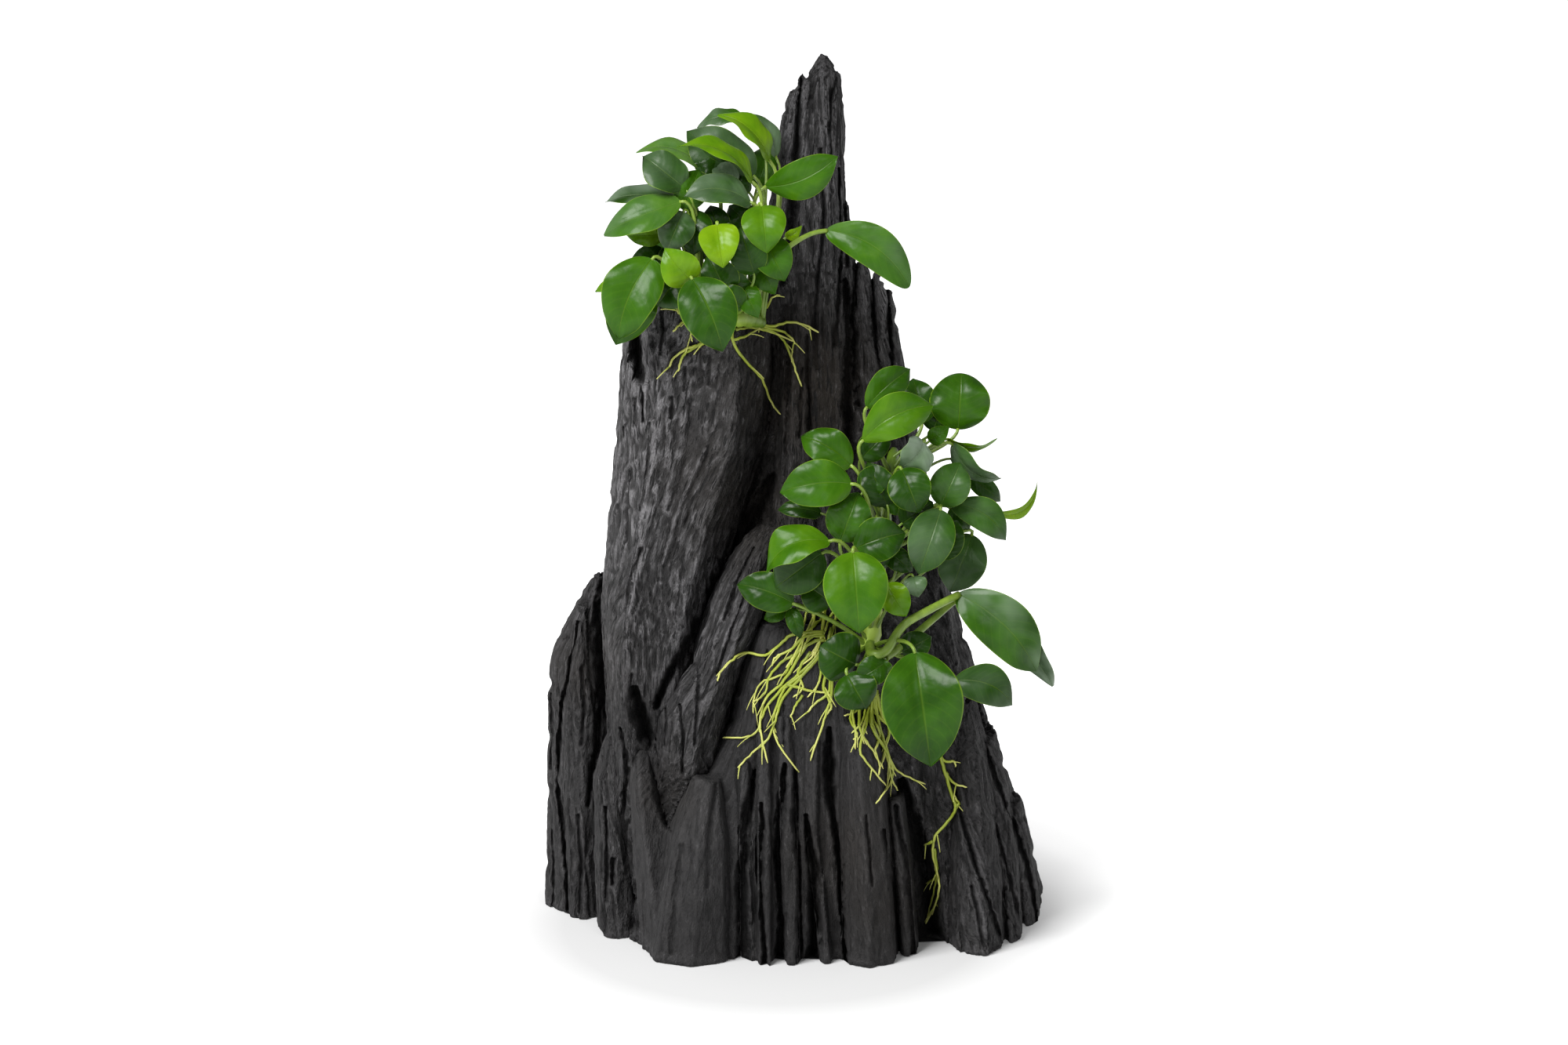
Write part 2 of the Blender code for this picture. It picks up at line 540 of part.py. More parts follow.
def build_wood(collection):
    """The stump's pieces, each cut back a joint gap where a root that forks off it stands."""
    trunk_plans = with_reader(TRUNK, row_in_space)
    trunk_plans.update(with_reader(TRUNK_BACK, row_in_millimetres))
    plans = {
        "driftwood_front_root": with_reader(FRONT_ROOT, row_in_space),
        "driftwood_left_root": with_reader(LEFT_ROOT, row_in_space),
        "driftwood_right_root": with_reader(RIGHT_ROOT, row_in_space),
        "driftwood_back_left_root": with_reader(BACK_LEFT_ROOT, row_in_millimetres),
        "driftwood_back_right_root": with_reader(BACK_RIGHT_ROOT, row_in_millimetres),
        "driftwood_leaning_root": with_reader(LEANING_ROOT, row_in_space),
        "driftwood_trunk": trunk_plans,
    }
    pieces = []
    for name, plan in plans.items():
        piece = bundle(name, plan, collection)
        keep_main_body(piece)
        if name == "driftwood_trunk":
            thin_out(piece, TRUNK_FACE_SHARE)
        for earlier in pieces:
            combine(piece, bundle("cutter", plans[earlier.name], collection, JOINT_GAP), "DIFFERENCE")
        keep_main_body(piece)
        pieces.append(piece)
    return pieces


def surface_tree(items):
    """Search tree over the faces of several objects that stand at the origin."""
    points = []
    faces = []
    for item in items:
        start = len(points)
        points.extend(vertex.co.copy() for vertex in item.data.vertices)
        faces.extend([start + index for index in face.vertices] for face in item.data.polygons)
    return BVHTree.FromPolygons(points, faces)


def blade_half_width(along):
    """Outline of an egg-shaped blade, widest two fifths of the way to its tip."""
    return math.sin(math.pi * along ** OUTLINE_SKEW) ** OUTLINE_POWER


def blade_frame(leaf):
    """Base, tip, side direction and facing direction of a blade."""
    base = from_view(leaf[0], leaf[1], leaf[2] * MM)
    tip = from_view(leaf[3], leaf[4], leaf[5] * MM)
    axis = (tip - base).normalized()
    to_eye = -VIEW_FORWARD
    facing = (to_eye - axis * to_eye.dot(axis)).normalized()
    facing = Matrix.Rotation(math.radians(leaf[7]), 3, axis) @ facing
    return base, tip, axis.cross(facing), facing


def blade_rings(leaf, shift, grow=0.0):
    """Rings of four points, edge, back, edge and front, from the stalk to the tip."""
    base, tip, side, facing = blade_frame(leaf)
    width = leaf[6] * VIEW_STEP
    arch = leaf[8] * MM
    rings = []
    for along in BLADE_STATIONS:
        middle = base.lerp(tip, along) + facing * (arch * 4 * along * (1 - along)) + shift
        half = width / 2 * blade_half_width(along)
        half = max(half, STALK_RADIUS * (1 - BLADE_BASE_TAPER * along)) + grow
        thick = BLADE_THICKNESS * (1 - along) + BLADE_END_THICKNESS * along
        lift = facing * (half * FOLD_RISE)
        rings.append([
            middle + side * half + lift,
            middle - facing * (thick / 2 + grow),
            middle - side * half + lift,
            middle + facing * (thick / 2 + grow)])
    return rings


def touched(tree, others):
    """Names of the search trees that a surface meets."""
    return [name for name, other in others.items() if tree.overlap(other)]


def settle_blades(leaves, solids, blades, collection, prefix):
    """Blades from the rearmost on, each moved towards the eye until it is clear of what is behind it."""
    placed = {}
    order = sorted(leaves, key=lambda name: -(leaves[name][2] + leaves[name][5]))
    for name in order:
        shift = Vector((0.0, 0.0, 0.0))
        for _ in range(SETTLE_LIMIT):
            trial = loft(blade_rings(leaves[name], shift, BLADE_CLEARANCE), "trial", collection)
            tree = surface_tree([trial])
            bpy.data.objects.remove(trial, do_unlink=True)
            if not touched(tree, solids) and not touched(tree, blades):
                break
            shift = shift - VIEW_FORWARD * SETTLE_STEP
        blade = loft(blade_rings(leaves[name], shift), prefix + name, collection)
        blades[blade.name] = surface_tree([blade])
        placed[name] = (blade, shift)
    return placed


def tube(name, points, radii, collection, resolution):
    """Round stem through the points, as a closed mesh."""
    curve = bpy.data.curves.new(name, "CURVE")
    curve.dimensions = "3D"
    curve.bevel_depth = 1.0
    curve.bevel_resolution = resolution
    curve.use_fill_caps = True
    spline = curve.splines.new("POLY")
    spline.points.add(len(points) - 1)
    for place, point, radius in zip(spline.points, points, radii):
        place.co = (*point, 1.0)
        place.radius = radius
    stem = new_object(name + "_line", curve, collection)
    depsgraph = bpy.context.evaluated_depsgraph_get()
    depsgraph.update()
    mesh = bpy.data.meshes.new_from_object(stem.evaluated_get(depsgraph))
    bpy.data.objects.remove(stem, do_unlink=True)
    shape = bmesh.new()
    shape.from_mesh(mesh)
    bmesh.ops.remove_doubles(shape, verts=shape.verts, dist=CURVE_WELD)
    bmesh.ops.recalc_face_normals(shape, faces=shape.faces)
    bmesh.ops.triangulate(shape, faces=shape.faces)
    shape.to_mesh(mesh)
    shape.free()
    return new_object(name, mesh, collection)


def tapered(radius, thick_end, taper, count):
    """Radii along a stem that is a little thicker where it starts."""
    return [radius * (thick_end - taper * k / (count - 1)) for k in range(count)]


def tube_tree(points, radii, collection, resolution=0):
    """Search tree of a stem that stands a joint gap proud of the real one."""
    probe = tube("probe", points, [radius + JOINT_GAP for radius in radii], collection, resolution)
    tree = surface_tree([probe])
    bpy.data.objects.remove(probe, do_unlink=True)
    return tree


def bezier(start, first, second, end, steps):
    """Evenly stepped points of one cubic curve."""
    points = []
    for number in range(steps + 1):
        t = number / steps
        point = start * (1 - t) ** 3 + first * 3 * t * (1 - t) ** 2
        points.append(point + second * 3 * t ** 2 * (1 - t) + end * t ** 3)
    return points


def reach_of_wood(column, row, wood_tree):
    """Distance from the eye to the wood at a place in the front view, or None beside it."""
    aim = (from_view(column, row, 0.0) - VIEW_EYE).normalized()
    return wood_tree.ray_cast(VIEW_EYE, aim)[3]


def lay_on_wood(columns_rows, wood_tree, lift):
    """Points in front of the wood, bridging clefts narrower than a probe, lifted towards the eye."""
    points = []
    last = VIEW_DISTANCE
    for column, row in columns_rows:
        reaches = [reach_of_wood(column + right, row + down, wood_tree) for right, down in PROBE]
        reaches = [reach for reach in reaches if reach is not None]
        last = min(reaches, default=last)
        aim = (from_view(column, row, 0.0) - VIEW_EYE).normalized()
        points.append(VIEW_EYE + aim * (last - lift))
    return points


def build_rhizome(name, rhizome, wood_tree, collection):
    """The creeping stem, raised off the wood until it is clear, with its points and radii."""
    places = [(column, row) for column, row, _ in rhizome]
    radii = [radius * MM for _, _, radius in rhizome]
    lift = max(radii)
    points = lay_on_wood(places, wood_tree, lift)
    while tube_tree(points, radii, collection, 1).overlap(wood_tree):
        lift += LIFT_STEP
        points = lay_on_wood(places, wood_tree, lift)
    return tube(name, points, radii, collection, 1), points, radii


def build_roots(name, plan, wood_tree, collection, draw):
    """A bundle of roots over the wood, from one crown, as one solid."""
    column, row, radius = plan["crown"]
    lift = radius * MM
    height = Vector((0.0, -0.3, 1.0)) * (radius * MM)
    crown_radii = [radius * MM * CROWN_END_SHARE, radius * MM, radius * MM * CROWN_END_SHARE]
    while True:
        crown = lay_on_wood([(column, row)], wood_tree, lift)[0]
        crown_line = [crown - height, crown, crown + height]
        if not tube_tree(crown_line, crown_radii, collection, 1).overlap(wood_tree):
            break
        lift += LIFT_STEP
    roots = tube(name, crown_line, crown_radii, collection, 1)
    for chain in plan["strands"]:
        lift = ROOT_RADIUS + JOINT_GAP
        start = crown + Vector([draw.uniform(-0.3, 0.3) * radius * MM for _ in range(3)])
        for _ in range(SETTLE_LIMIT):
            way = [start] + lay_on_wood(chain, wood_tree, lift)
            taper = tapered(ROOT_RADIUS, ROOT_THICK_END, ROOT_TAPER, len(way))
            if not tube_tree(way, taper, collection).overlap(wood_tree):
                break
            lift += LIFT_STEP
        combine(roots, tube("strand", way, taper, collection, 0), "UNION")
    keep_main_body(roots)
    return roots


def stalk_way(name, leaf, shift, stem_points, push, draw):
    """Way of a leaf stalk from the rhizome to just short of its blade."""
    base, tip, side, _ = blade_frame(leaf)
    axis = (tip - base).normalized()
    end = base + shift - axis * STALK_TO_BLADE_GAP
    if name in STALK_WAYS:
        way = [from_view(column, row, depth * MM) for column, row, depth in STALK_WAYS[name]]
        way = [point - VIEW_FORWARD * push for point in way]
        start = min(stem_points, key=lambda point: (point - way[0]).length)
        return [start] + way + [end]
    below = base + shift - Vector((0.0, 0.0, STALK_DROP))
    start = min(stem_points, key=lambda point: (point - below).length)
    start = start + Vector([draw.uniform(-1.0, 1.0) * START_WANDER for _ in range(3)])
    reach = (end - start).length
    sideways = side * (draw.uniform(-0.5, 0.5) * push)
    bend = reach * STALK_BEND_SHARE
    first = start + STALK_RISE * bend - VIEW_FORWARD * push + sideways
    second = end - axis * bend - VIEW_FORWARD * (push * 0.5) + sideways
    return bezier(start, first, second, end, 2 if reach < SHORT_STALK else 3)


def grow_stalks(stems, stem_points, placed, leaves, solids, blades, collection, draw):
    """Unite a stalk for each blade with the rhizome; a blade that a stalk has to pass is pierced for it."""
    for name, (blade, shift) in placed.items():
        best = None
        for attempt in range(SETTLE_LIMIT):
            way = stalk_way(name, leaves[name], shift, stem_points, attempt * STALK_PUSH, draw)
            taper = tapered(STALK_RADIUS, STALK_THICK_END, STALK_TAPER, len(way))
            tree = tube_tree(way, taper, collection)
            blocked = len(touched(tree, solids))
            passed = touched(tree, blades)
            if best is None or (blocked, len(passed)) < best[0]:
                best = ((blocked, len(passed)), way, taper, passed)
            if best[0] == (0, 0):
                break
        _, way, taper, passed = best
        for blade_name in passed:
            opening = tube("opening", way, [radius + JOINT_GAP for radius in taper], collection, 0)
            combine(bpy.data.objects[blade_name], opening, "DIFFERENCE")
            keep_main_body(bpy.data.objects[blade_name])
        stem_points.remove(min(stem_points, key=lambda point: (point - way[0]).length))
        combine(stems, tube("stalk", way, taper, collection, 0), "UNION")
    keep_main_body(stems)


def main():
    clear_scene()
    collection = bpy.data.collections.new("anubias_on_driftwood")
    bpy.context.scene.collection.children.link(collection)
    draw = random.Random("stalks and roots")
    wood = build_wood(collection)
    for item in wood:
        item.data.materials.append(material(item.name, WOOD_COLOUR, WOOD_ROUGHNESS))
    wood_tree = surface_tree(wood)
    solids = {"wood": wood_tree}
    blades = {}
    plants = (
        ("upper", UPPER_RHIZOME, UPPER_LEAVES, {"upper_roots": UPPER_ROOTS}),
        ("lower", LOWER_RHIZOME, LOWER_LEAVES, {
            "lower_left_roots": LOWER_LEFT_ROOTS, "lower_middle_roots": LOWER_MIDDLE_ROOTS,
            "lower_long_root": LOWER_LONG_ROOT}),
    )
    for plant, rhizome, leaves, root_plans in plants:
        stems, points, radii = build_rhizome(plant + "_rhizome", rhizome, wood_tree, collection)
        bare_rhizome = surface_tree([stems])
        for root_name, plan in root_plans.items():
            roots = build_roots(root_name, plan, wood_tree, collection, draw)
            if surface_tree([roots]).overlap(bare_rhizome):
                cutter = tube("cutter", points, [radius + JOINT_GAP for radius in radii], collection, 1)
                combine(roots, cutter, "DIFFERENCE")
                keep_main_body(roots)
            thin_if_clear(roots, {**solids, "rhizome": bare_rhizome})
            roots.data.materials.append(material(roots.name, ROOT_COLOUR, PLANT_ROUGHNESS))
            solids[root_name] = surface_tree([roots])
        behind = {**solids, "rhizome": bare_rhizome}
        placed = settle_blades(leaves, behind, blades, collection, plant + "_leaf_")
        stem_points = [
            first.lerp(second, (step + 0.5) / STARTS_A_SPAN)
            for first, second in zip(points, points[1:]) for step in range(STARTS_A_SPAN)]
        grow_stalks(stems, stem_points, placed, leaves, solids, blades, collection, draw)
        pierced = {blade.name: surface_tree([blade]) for blade, _ in placed.values()}
        thin_if_clear(stems, {**solids, **pierced})
        stems.data.materials.append(material(stems.name, STALK_COLOUR, PLANT_ROUGHNESS))
        solids[stems.name] = surface_tree([stems])
        for blade, _ in placed.values():
            colour = YOUNG_LEAF if blade.name in YOUNG_LEAVES else DARK_LEAF
            blade.data.materials.append(material(blade.name, colour, LEAF_ROUGHNESS))


main()
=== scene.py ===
"""Anubias nana on a charcoal-dark driftwood stump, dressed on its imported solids.

Units are metres, +Z is up, -Y is the side that the plants grow on. Places read in the front view are
given as columns and rows of a 2000 by 1333 frame.
"""
import math
import random

import bpy
import numpy as np
from mathutils import Matrix, Vector
from mathutils.bvhtree import BVHTree

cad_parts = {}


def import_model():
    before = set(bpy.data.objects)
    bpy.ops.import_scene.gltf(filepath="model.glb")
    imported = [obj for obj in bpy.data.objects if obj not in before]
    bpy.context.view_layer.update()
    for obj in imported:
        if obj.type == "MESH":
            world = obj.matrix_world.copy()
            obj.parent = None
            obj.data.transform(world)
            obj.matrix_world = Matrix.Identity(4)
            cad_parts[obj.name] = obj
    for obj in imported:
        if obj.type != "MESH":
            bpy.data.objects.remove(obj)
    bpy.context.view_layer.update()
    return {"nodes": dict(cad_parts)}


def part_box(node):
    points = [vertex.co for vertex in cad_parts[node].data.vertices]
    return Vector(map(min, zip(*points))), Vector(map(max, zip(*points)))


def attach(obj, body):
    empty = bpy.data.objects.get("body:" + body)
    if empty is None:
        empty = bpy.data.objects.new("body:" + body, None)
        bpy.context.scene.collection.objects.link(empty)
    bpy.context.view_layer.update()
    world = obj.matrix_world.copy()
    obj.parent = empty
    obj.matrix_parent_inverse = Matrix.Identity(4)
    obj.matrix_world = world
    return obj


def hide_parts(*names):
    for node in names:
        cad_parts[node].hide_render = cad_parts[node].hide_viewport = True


MM = 0.001

# Front view: one column is 0.36 mm at the stump's middle, seen from 2 m away and 12 degrees above level
VIEW_STEP = 0.36 * MM
VIEW_DISTANCE = 2.0
VIEW_RISE = math.radians(12.0)
VIEW_TARGET = Vector((-4.2 * MM, 0.0, 185.0 * MM))
VIEW_CENTRE_COLUMN = 1000.0
VIEW_CENTRE_ROW = 666.5
VIEW_FORWARD = Vector((0.0, math.cos(VIEW_RISE), -math.sin(VIEW_RISE)))
VIEW_UP = Vector((0.0, math.sin(VIEW_RISE), math.cos(VIEW_RISE)))
VIEW_EYE = VIEW_TARGET - VIEW_FORWARD * VIEW_DISTANCE
SENSOR_WIDTH = 36.0
LENS = 100.0

# Wood: node -> (voxel in millimetres, most triangles, strength of the long grooves, of the fine grain)
WOOD = {
    "driftwood_trunk": (0.85, 195000, 1.0, 1.0),
    "driftwood_front_root": (0.8, 150000, 0.42, 0.45),
    "driftwood_left_root": (0.85, 85000, 0.8, 0.8),
    "driftwood_right_root": (0.85, 85000, 0.7, 0.75),
    "driftwood_leaning_root": (0.8, 50000, 0.6, 1.0),
    "driftwood_back_left_root": (1.4, 40000, 1.0, 0.9),
    "driftwood_back_right_root": (1.4, 40000, 1.0, 0.9),
}
# Pieces that the plants lie on, and pieces whose tops aren't ragged
FRONT_WOOD = (
    "driftwood_trunk", "driftwood_front_root", "driftwood_left_root", "driftwood_right_root",
    "driftwood_leaning_root")
SMOOTH_TOPPED = ("driftwood_trunk", "driftwood_front_root", "driftwood_leaning_root")
SWELL = 0.3 * MM
# Rounds of easing: all the wood, the crisp spire, the directions that fibres follow, the edges of clefts, and
# the two smoother forms that ridges and hollows are told from
RELAX_ROUNDS = 6
CRISP_ROUNDS = 1
NORMAL_ROUNDS = 12
CLEFT_EDGE_ROUNDS = 4
CAVITY_ROUNDS = 7
WIDE_CAVITY_ROUNDS = 20
# The spire: where it starts, over what height the wood changes, how much calmer its relief and how much
# rougher its colour is
CRISP_ABOVE = 270 * MM
CRISP_BLEND = 30 * MM
SPIRE_CALM = 0.30
SPIRE_ROUGHER = 0.35
# Points below this height stay on the cut base
FLAT_BASE = 1.2 * MM
# Levels at which the flare of the front and the back is taken out, and the least depth between them
DEPTH_LEVELS = 24
LEAST_DEPTH = 4 * MM
# Fibres on the sides keep to strips this many millimetres wide, where the surface turns this far sideways
SIDE_STRIP = 50.0
SIDE_TURN = 0.60
SIDE_TURN_BLEND = 0.25
# Spans for which the spacing of the outer fibre lines goes on past them
BEYOND_LINES = 50.0
# Ragged tops: depth of the teeth in millimetres, and how far up a face has to look to have them
RAGGED_TOPS = 5.0
RAGGED_FROM = 0.35
# Clefts: columns and rows between the bends of their edges, softness of the edges, and how level they go in
CLEFT_BENDS = (7.0, 22.0)
CLEFT_SOFTNESS = 1.25
CLEFT_WAY = (1.0, 1.0, 0.35)
NICK_SHARPNESS = 1.4
# Ridges and hollows, put into the colour as a painted highlight on ridges and painted shade in hollows: the
# height that counts as one, narrow and wide, and its share in the colour
NARROW_HOLLOW = 0.28 * MM
WIDE_HOLLOW = 1.2 * MM
PAINTED_HOLLOW_SHADE_SHARE = 0.30
RIDGE_PALENESS = 0.45
# Colour of the wood: its usual place on the ramp, and the shares of streaks, relief with its painted
# highlights and shade, grit and clouds in it
USUAL_HEIGHT = 0.42
TONE_SHARES = (0.52, 0.50, 0.50, 0.30)
TONE_OFFSET = -0.43

# Run of the fibres: for each line its (row, column) places down the front view, from left to right
GRAIN = {
    "driftwood_trunk": [
        [(376, 800), (545, 789), (735, 770), (1200, 770)],
        [(376, 860), (600, 838), (720, 812), (1200, 812)],
        [(376, 935), (573, 898), (641, 869), (719, 845), (900, 835), (1200, 835)],
        [(300, 985), (545, 985), (600, 955), (659, 923), (743, 901), (860, 872), (1200, 870)],
        [(80, 1030), (260, 990), (430, 1000), (700, 990), (1200, 990)],
        [(80, 1050), (334, 1045), (560, 1050), (800, 1070), (1200, 1085)],
        [(80, 1062), (334, 1086), (560, 1110), (800, 1160), (1200, 1200)],
        [(80, 1075), (334, 1110), (466, 1152), (660, 1193), (832, 1240), (957, 1276), (1200, 1320)]],
    "driftwood_front_root": [
        [(790, 960), (930, 900), (1020, 850), (1240, 818)],
        [(790, 985), (930, 960), (1060, 945), (1240, 944)],
        [(790, 1015), (930, 1010), (1240, 1010)],
        [(790, 1050), (930, 1062), (1240, 1068)],
        [(790, 1075), (930, 1110), (1040, 1128), (1240, 1160)]],
    "driftwood_left_root": [
        [(730, 760), (800, 720), (880, 700), (1170, 695)],
        [(730, 765), (800, 740), (925, 719), (1060, 720), (1170, 726)],
        [(730, 770), (850, 755), (925, 765), (1170, 768)],
        [(730, 780), (915, 790), (1050, 800), (1200, 817)]],
    "driftwood_leaning_root": [
        [(669, 965), (740, 918), (800, 893), (860, 870), (904, 836), (1000, 840)],
        [(669, 993), (779, 972), (823, 950), (921, 923), (1000, 885)]],
    "driftwood_right_root": [
        [(880, 1205), (1065, 1204), (1220, 1212)],
        [(880, 1215), (1039, 1234), (1134, 1273), (1210, 1302)],
        [(880, 1238), (974, 1265), (1052, 1291), (1177, 1323)],
        [(880, 1250), (1000, 1290), (1162, 1330)]],
    "driftwood_back_left_root": [[(700, 760), (1200, 700)], [(700, 980), (1200, 980)]],
    "driftwood_back_right_root": [[(700, 960), (1200, 960)], [(700, 1160), (1200, 1280)]],
}

# Clefts and pits seen from the front: (depth in millimetres, [(column, row, half width in columns)]).
# A negative depth is a raised ridge.
CLEFTS = {
    "driftwood_trunk": [
        (24, [(809, 408, 5), (811, 430, 8), (813, 460, 9), (816, 480, 8), (818, 488, 4)]),
        (4, [(819, 492, 2), (821, 537, 2)]),
        (15, [(944, 388, 8), (944, 396, 8)]),
        (13, [(768, 740, 5), (764, 800, 8), (768, 850, 13), (772, 895, 12), (778, 925, 6)]),
        (16, [(985, 610, 8), (968, 650, 14), (940, 690, 14), (915, 740, 12), (896, 790, 11), (872, 830, 9),
              (852, 864, 6), (838, 900, 5)]),
        (16, [(808, 880, 6), (815, 905, 9), (824, 938, 12), (828, 952, 5)]),
        (10, [(793, 930, 3), (802, 985, 5), (797, 1057, 7), (803, 1116, 9), (808, 1180, 10)]),
        (12, [(1078, 360, 5), (1080, 400, 8), (1082, 440, 10), (1082, 520, 10), (1088, 590, 9)]),
        (7, [(1023, 97, 3), (1020, 127, 4), (1017, 167, 5), (1014, 200, 6), (1012, 242, 8), (1008, 300, 8),
             (1000, 360, 6)]),
        (3, [(1066, 100, 2), (1060, 127, 2), (1058, 167, 2), (1060, 215, 2)]),
        (4, [(1046, 190, 2), (1048, 231, 3), (1051, 274, 3), (1046, 328, 3), (1040, 395, 3),
             (1040, 470, 4)]),
        (5, [(1068, 215, 2), (1070, 262, 2), (1072, 314, 4), (1067, 381, 4), (1064, 440, 4)]),
        (5, [(1077, 258, 2), (1078, 300, 3), (1080, 340, 3)]),
        (11, [(1090, 345, 3), (1088, 400, 5), (1091, 462, 6), (1096, 520, 6)]),
        (7, [(1113, 350, 3), (1113, 408, 4), (1120, 462, 4), (1126, 500, 4)]),
        (9, [(1131, 372, 3), (1134, 430, 4), (1138, 470, 4)]),
        (9, [(985, 430, 4), (982, 480, 7), (975, 540, 10), (962, 600, 12), (950, 640, 12)]),
        (5, [(1008, 440, 3), (1006, 500, 4), (1004, 580, 4)]),
        (5, [(1030, 430, 3), (1031, 500, 4), (1030, 570, 4)]),
        (3, [(1022, 470, 2), (1020, 560, 2)]),
        (2.5, [(844, 400, 3), (846, 430, 3), (843, 452, 2)]),
        (3, [(856, 508, 3), (856, 532, 3)]),
        (2.5, [(810, 508, 2), (811, 542, 2)]),
        (2, [(874, 470, 3), (872, 498, 2)]),
        (1.5, [(905, 455, 3), (903, 490, 3)]),
        (3, [(797, 545, 2), (797, 556, 2)]),
        (2, [(830, 540, 2), (826, 600, 2), (818, 650, 2)]),
        (1.5, [(874, 585, 3), (864, 620, 3), (852, 650, 2)]),
        (-1.6, [(900, 572, 3), (886, 602, 3), (869, 641, 3), (858, 675, 4), (846, 719, 3)]),
        (-1.2, [(811, 588, 3), (797, 599, 3), (791, 628, 3), (786, 655, 3)]),
        (2, [(806, 600, 4), (802, 640, 5), (800, 690, 3)]),
        (1.5, [(880, 640, 3), (873, 670, 3)]),
        (-1.2, [(826, 700, 2), (812, 740, 3), (806, 780, 2)]),
        (2.5, [(818, 700, 3), (806, 735, 3), (800, 770, 2)]),
        (3, [(805, 860, 2), (803, 900, 3), (806, 920, 3)]),
        (22, [(1150, 1000, 8), (1165, 1060, 13), (1180, 1120, 17), (1188, 1215, 19)]),
        (12, [(1240, 880, 3), (1250, 920, 8), (1258, 962, 6)]),
        (6, [(1216, 810, 3), (1222, 850, 3), (1232, 900, 3)]),
    ],
    "driftwood_left_root": [
        (10, [(768, 735, 4), (763, 790, 8), (768, 850, 12), (772, 895, 12), (778, 925, 6)]),
        (7, [(738, 793, 2), (734, 817, 3), (727, 858, 3), (718, 896, 3), (715, 955, 3), (712, 999, 3),
             (719, 1057, 3), (723, 1101, 3), (725, 1160, 3)]),
        (9, [(764, 905, 3), (759, 960, 4), (753, 999, 4), (749, 1028, 2)]),
        (6, [(782, 1096, 3), (782, 1128, 3)]),
        (3, [(741, 850, 3), (745, 900, 3), (742, 950, 2)]),
        (3, [(704, 885, 2), (706, 930, 3), (703, 980, 2)]),
        (4, [(774, 1030, 2), (776, 1090, 3), (774, 1150, 3)]),
        (3, [(738, 1040, 2), (742, 1100, 3), (740, 1165, 3)]),
        (-1.5, [(789, 925, 2), (769, 948, 2), (763, 985, 2), (776, 1030, 2), (787, 1070, 2),
                (795, 1110, 2)]),
        (3, [(705, 1060, 2), (708, 1110, 2), (706, 1165, 2)]),
    ],
    "driftwood_leaning_root": [
        (3, [(962, 700, 2), (940, 745, 3), (925, 790, 3)]),
        (2.5, [(950, 760, 2), (930, 815, 2), (915, 860, 2)]),
        (3, [(868, 900, 2), (872, 940, 3), (870, 985, 2)]),
        (2.5, [(892, 850, 2), (890, 900, 3), (886, 950, 2)]),
        (2.5, [(850, 900, 2), (850, 950, 2)]),
    ],
    "driftwood_front_root": [
        (9, [(832, 950, 3), (834, 985, 4), (838, 1015, 5), (846, 1045, 5), (857, 1062, 2)]),
        (12, [(963, 985, 3), (956, 1018, 6), (950, 1055, 8), (950, 1090, 7), (946, 1130, 9), (949, 1180, 9),
              (948, 1240, 11)]),
        (12, [(1001, 975, 2), (999, 1010, 6), (995, 1050, 7), (992, 1090, 6), (994, 1130, 5),
              (998, 1180, 6),
              (993, 1240, 9)]),
        (9, [(971, 1025, 2), (973, 1052, 4), (969, 1090, 6), (970, 1130, 4), (974, 1190, 3),
             (976, 1240, 5)]),
        (10, [(1014, 980, 2), (1014, 1021, 5), (1013, 1052, 4), (1018, 1100, 3), (1018, 1160, 3),
              (1020, 1240, 5)]),
        (14, [(1057, 930, 3), (1057, 960, 8), (1058, 1000, 9), (1062, 1036, 5), (1069, 1075, 5),
              (1072, 1110, 7),
              (1074, 1150, 4), (1080, 1235, 3)]),
        (16, [(1028, 1040, 2), (1034, 1085, 6), (1040, 1117, 9), (1038, 1149, 8), (1041, 1182, 9),
              (1037, 1240, 12)]),
        (3, [(1104, 1040, 2), (1108, 1080, 3), (1112, 1130, 2)]),
        (6, [(1126, 1060, 3), (1138, 1130, 5), (1147, 1230, 6)]),
        (7, [(1142, 1030, 3), (1157, 1110, 5), (1166, 1215, 6)]),
        (1.5, [(915, 990, 4), (905, 1060, 6), (902, 1130, 4)]),
        (1.5, [(870, 1080, 5), (862, 1140, 6), (856, 1215, 5)]),
        (1.5, [(926, 1120, 3), (927, 1170, 4), (926, 1235, 3)]),
        (2.5, [(980, 830, 2), (972, 880, 3), (966, 930, 2)]),
        (2.5, [(1000, 900, 2), (1000, 950, 2)]),
    ],
    "driftwood_right_root": [
        (6, [(1221, 1010, 3), (1232, 1060, 3), (1243, 1095, 3), (1269, 1182, 4), (1284, 1220, 4)]),
        (7, [(1246, 930, 4), (1258, 965, 5), (1275, 1010, 3), (1291, 1052, 4), (1308, 1100, 4),
             (1323, 1177, 4)]),
        (4, [(1266, 1040, 2), (1285, 1110, 3), (1303, 1190, 3)]),
        (-1.4, [(1212, 930, 2), (1225, 1000, 2), (1234, 1039, 2), (1256, 1091, 2), (1273, 1134, 2),
                (1300, 1195, 2)]),
        (3, [(1210, 1070, 2), (1218, 1130, 3), (1230, 1215, 3)]),
        (3, [(1205, 960, 2), (1208, 1020, 2)]),
        (3, [(1240, 1130, 2), (1256, 1210, 3)]),
    ],
}
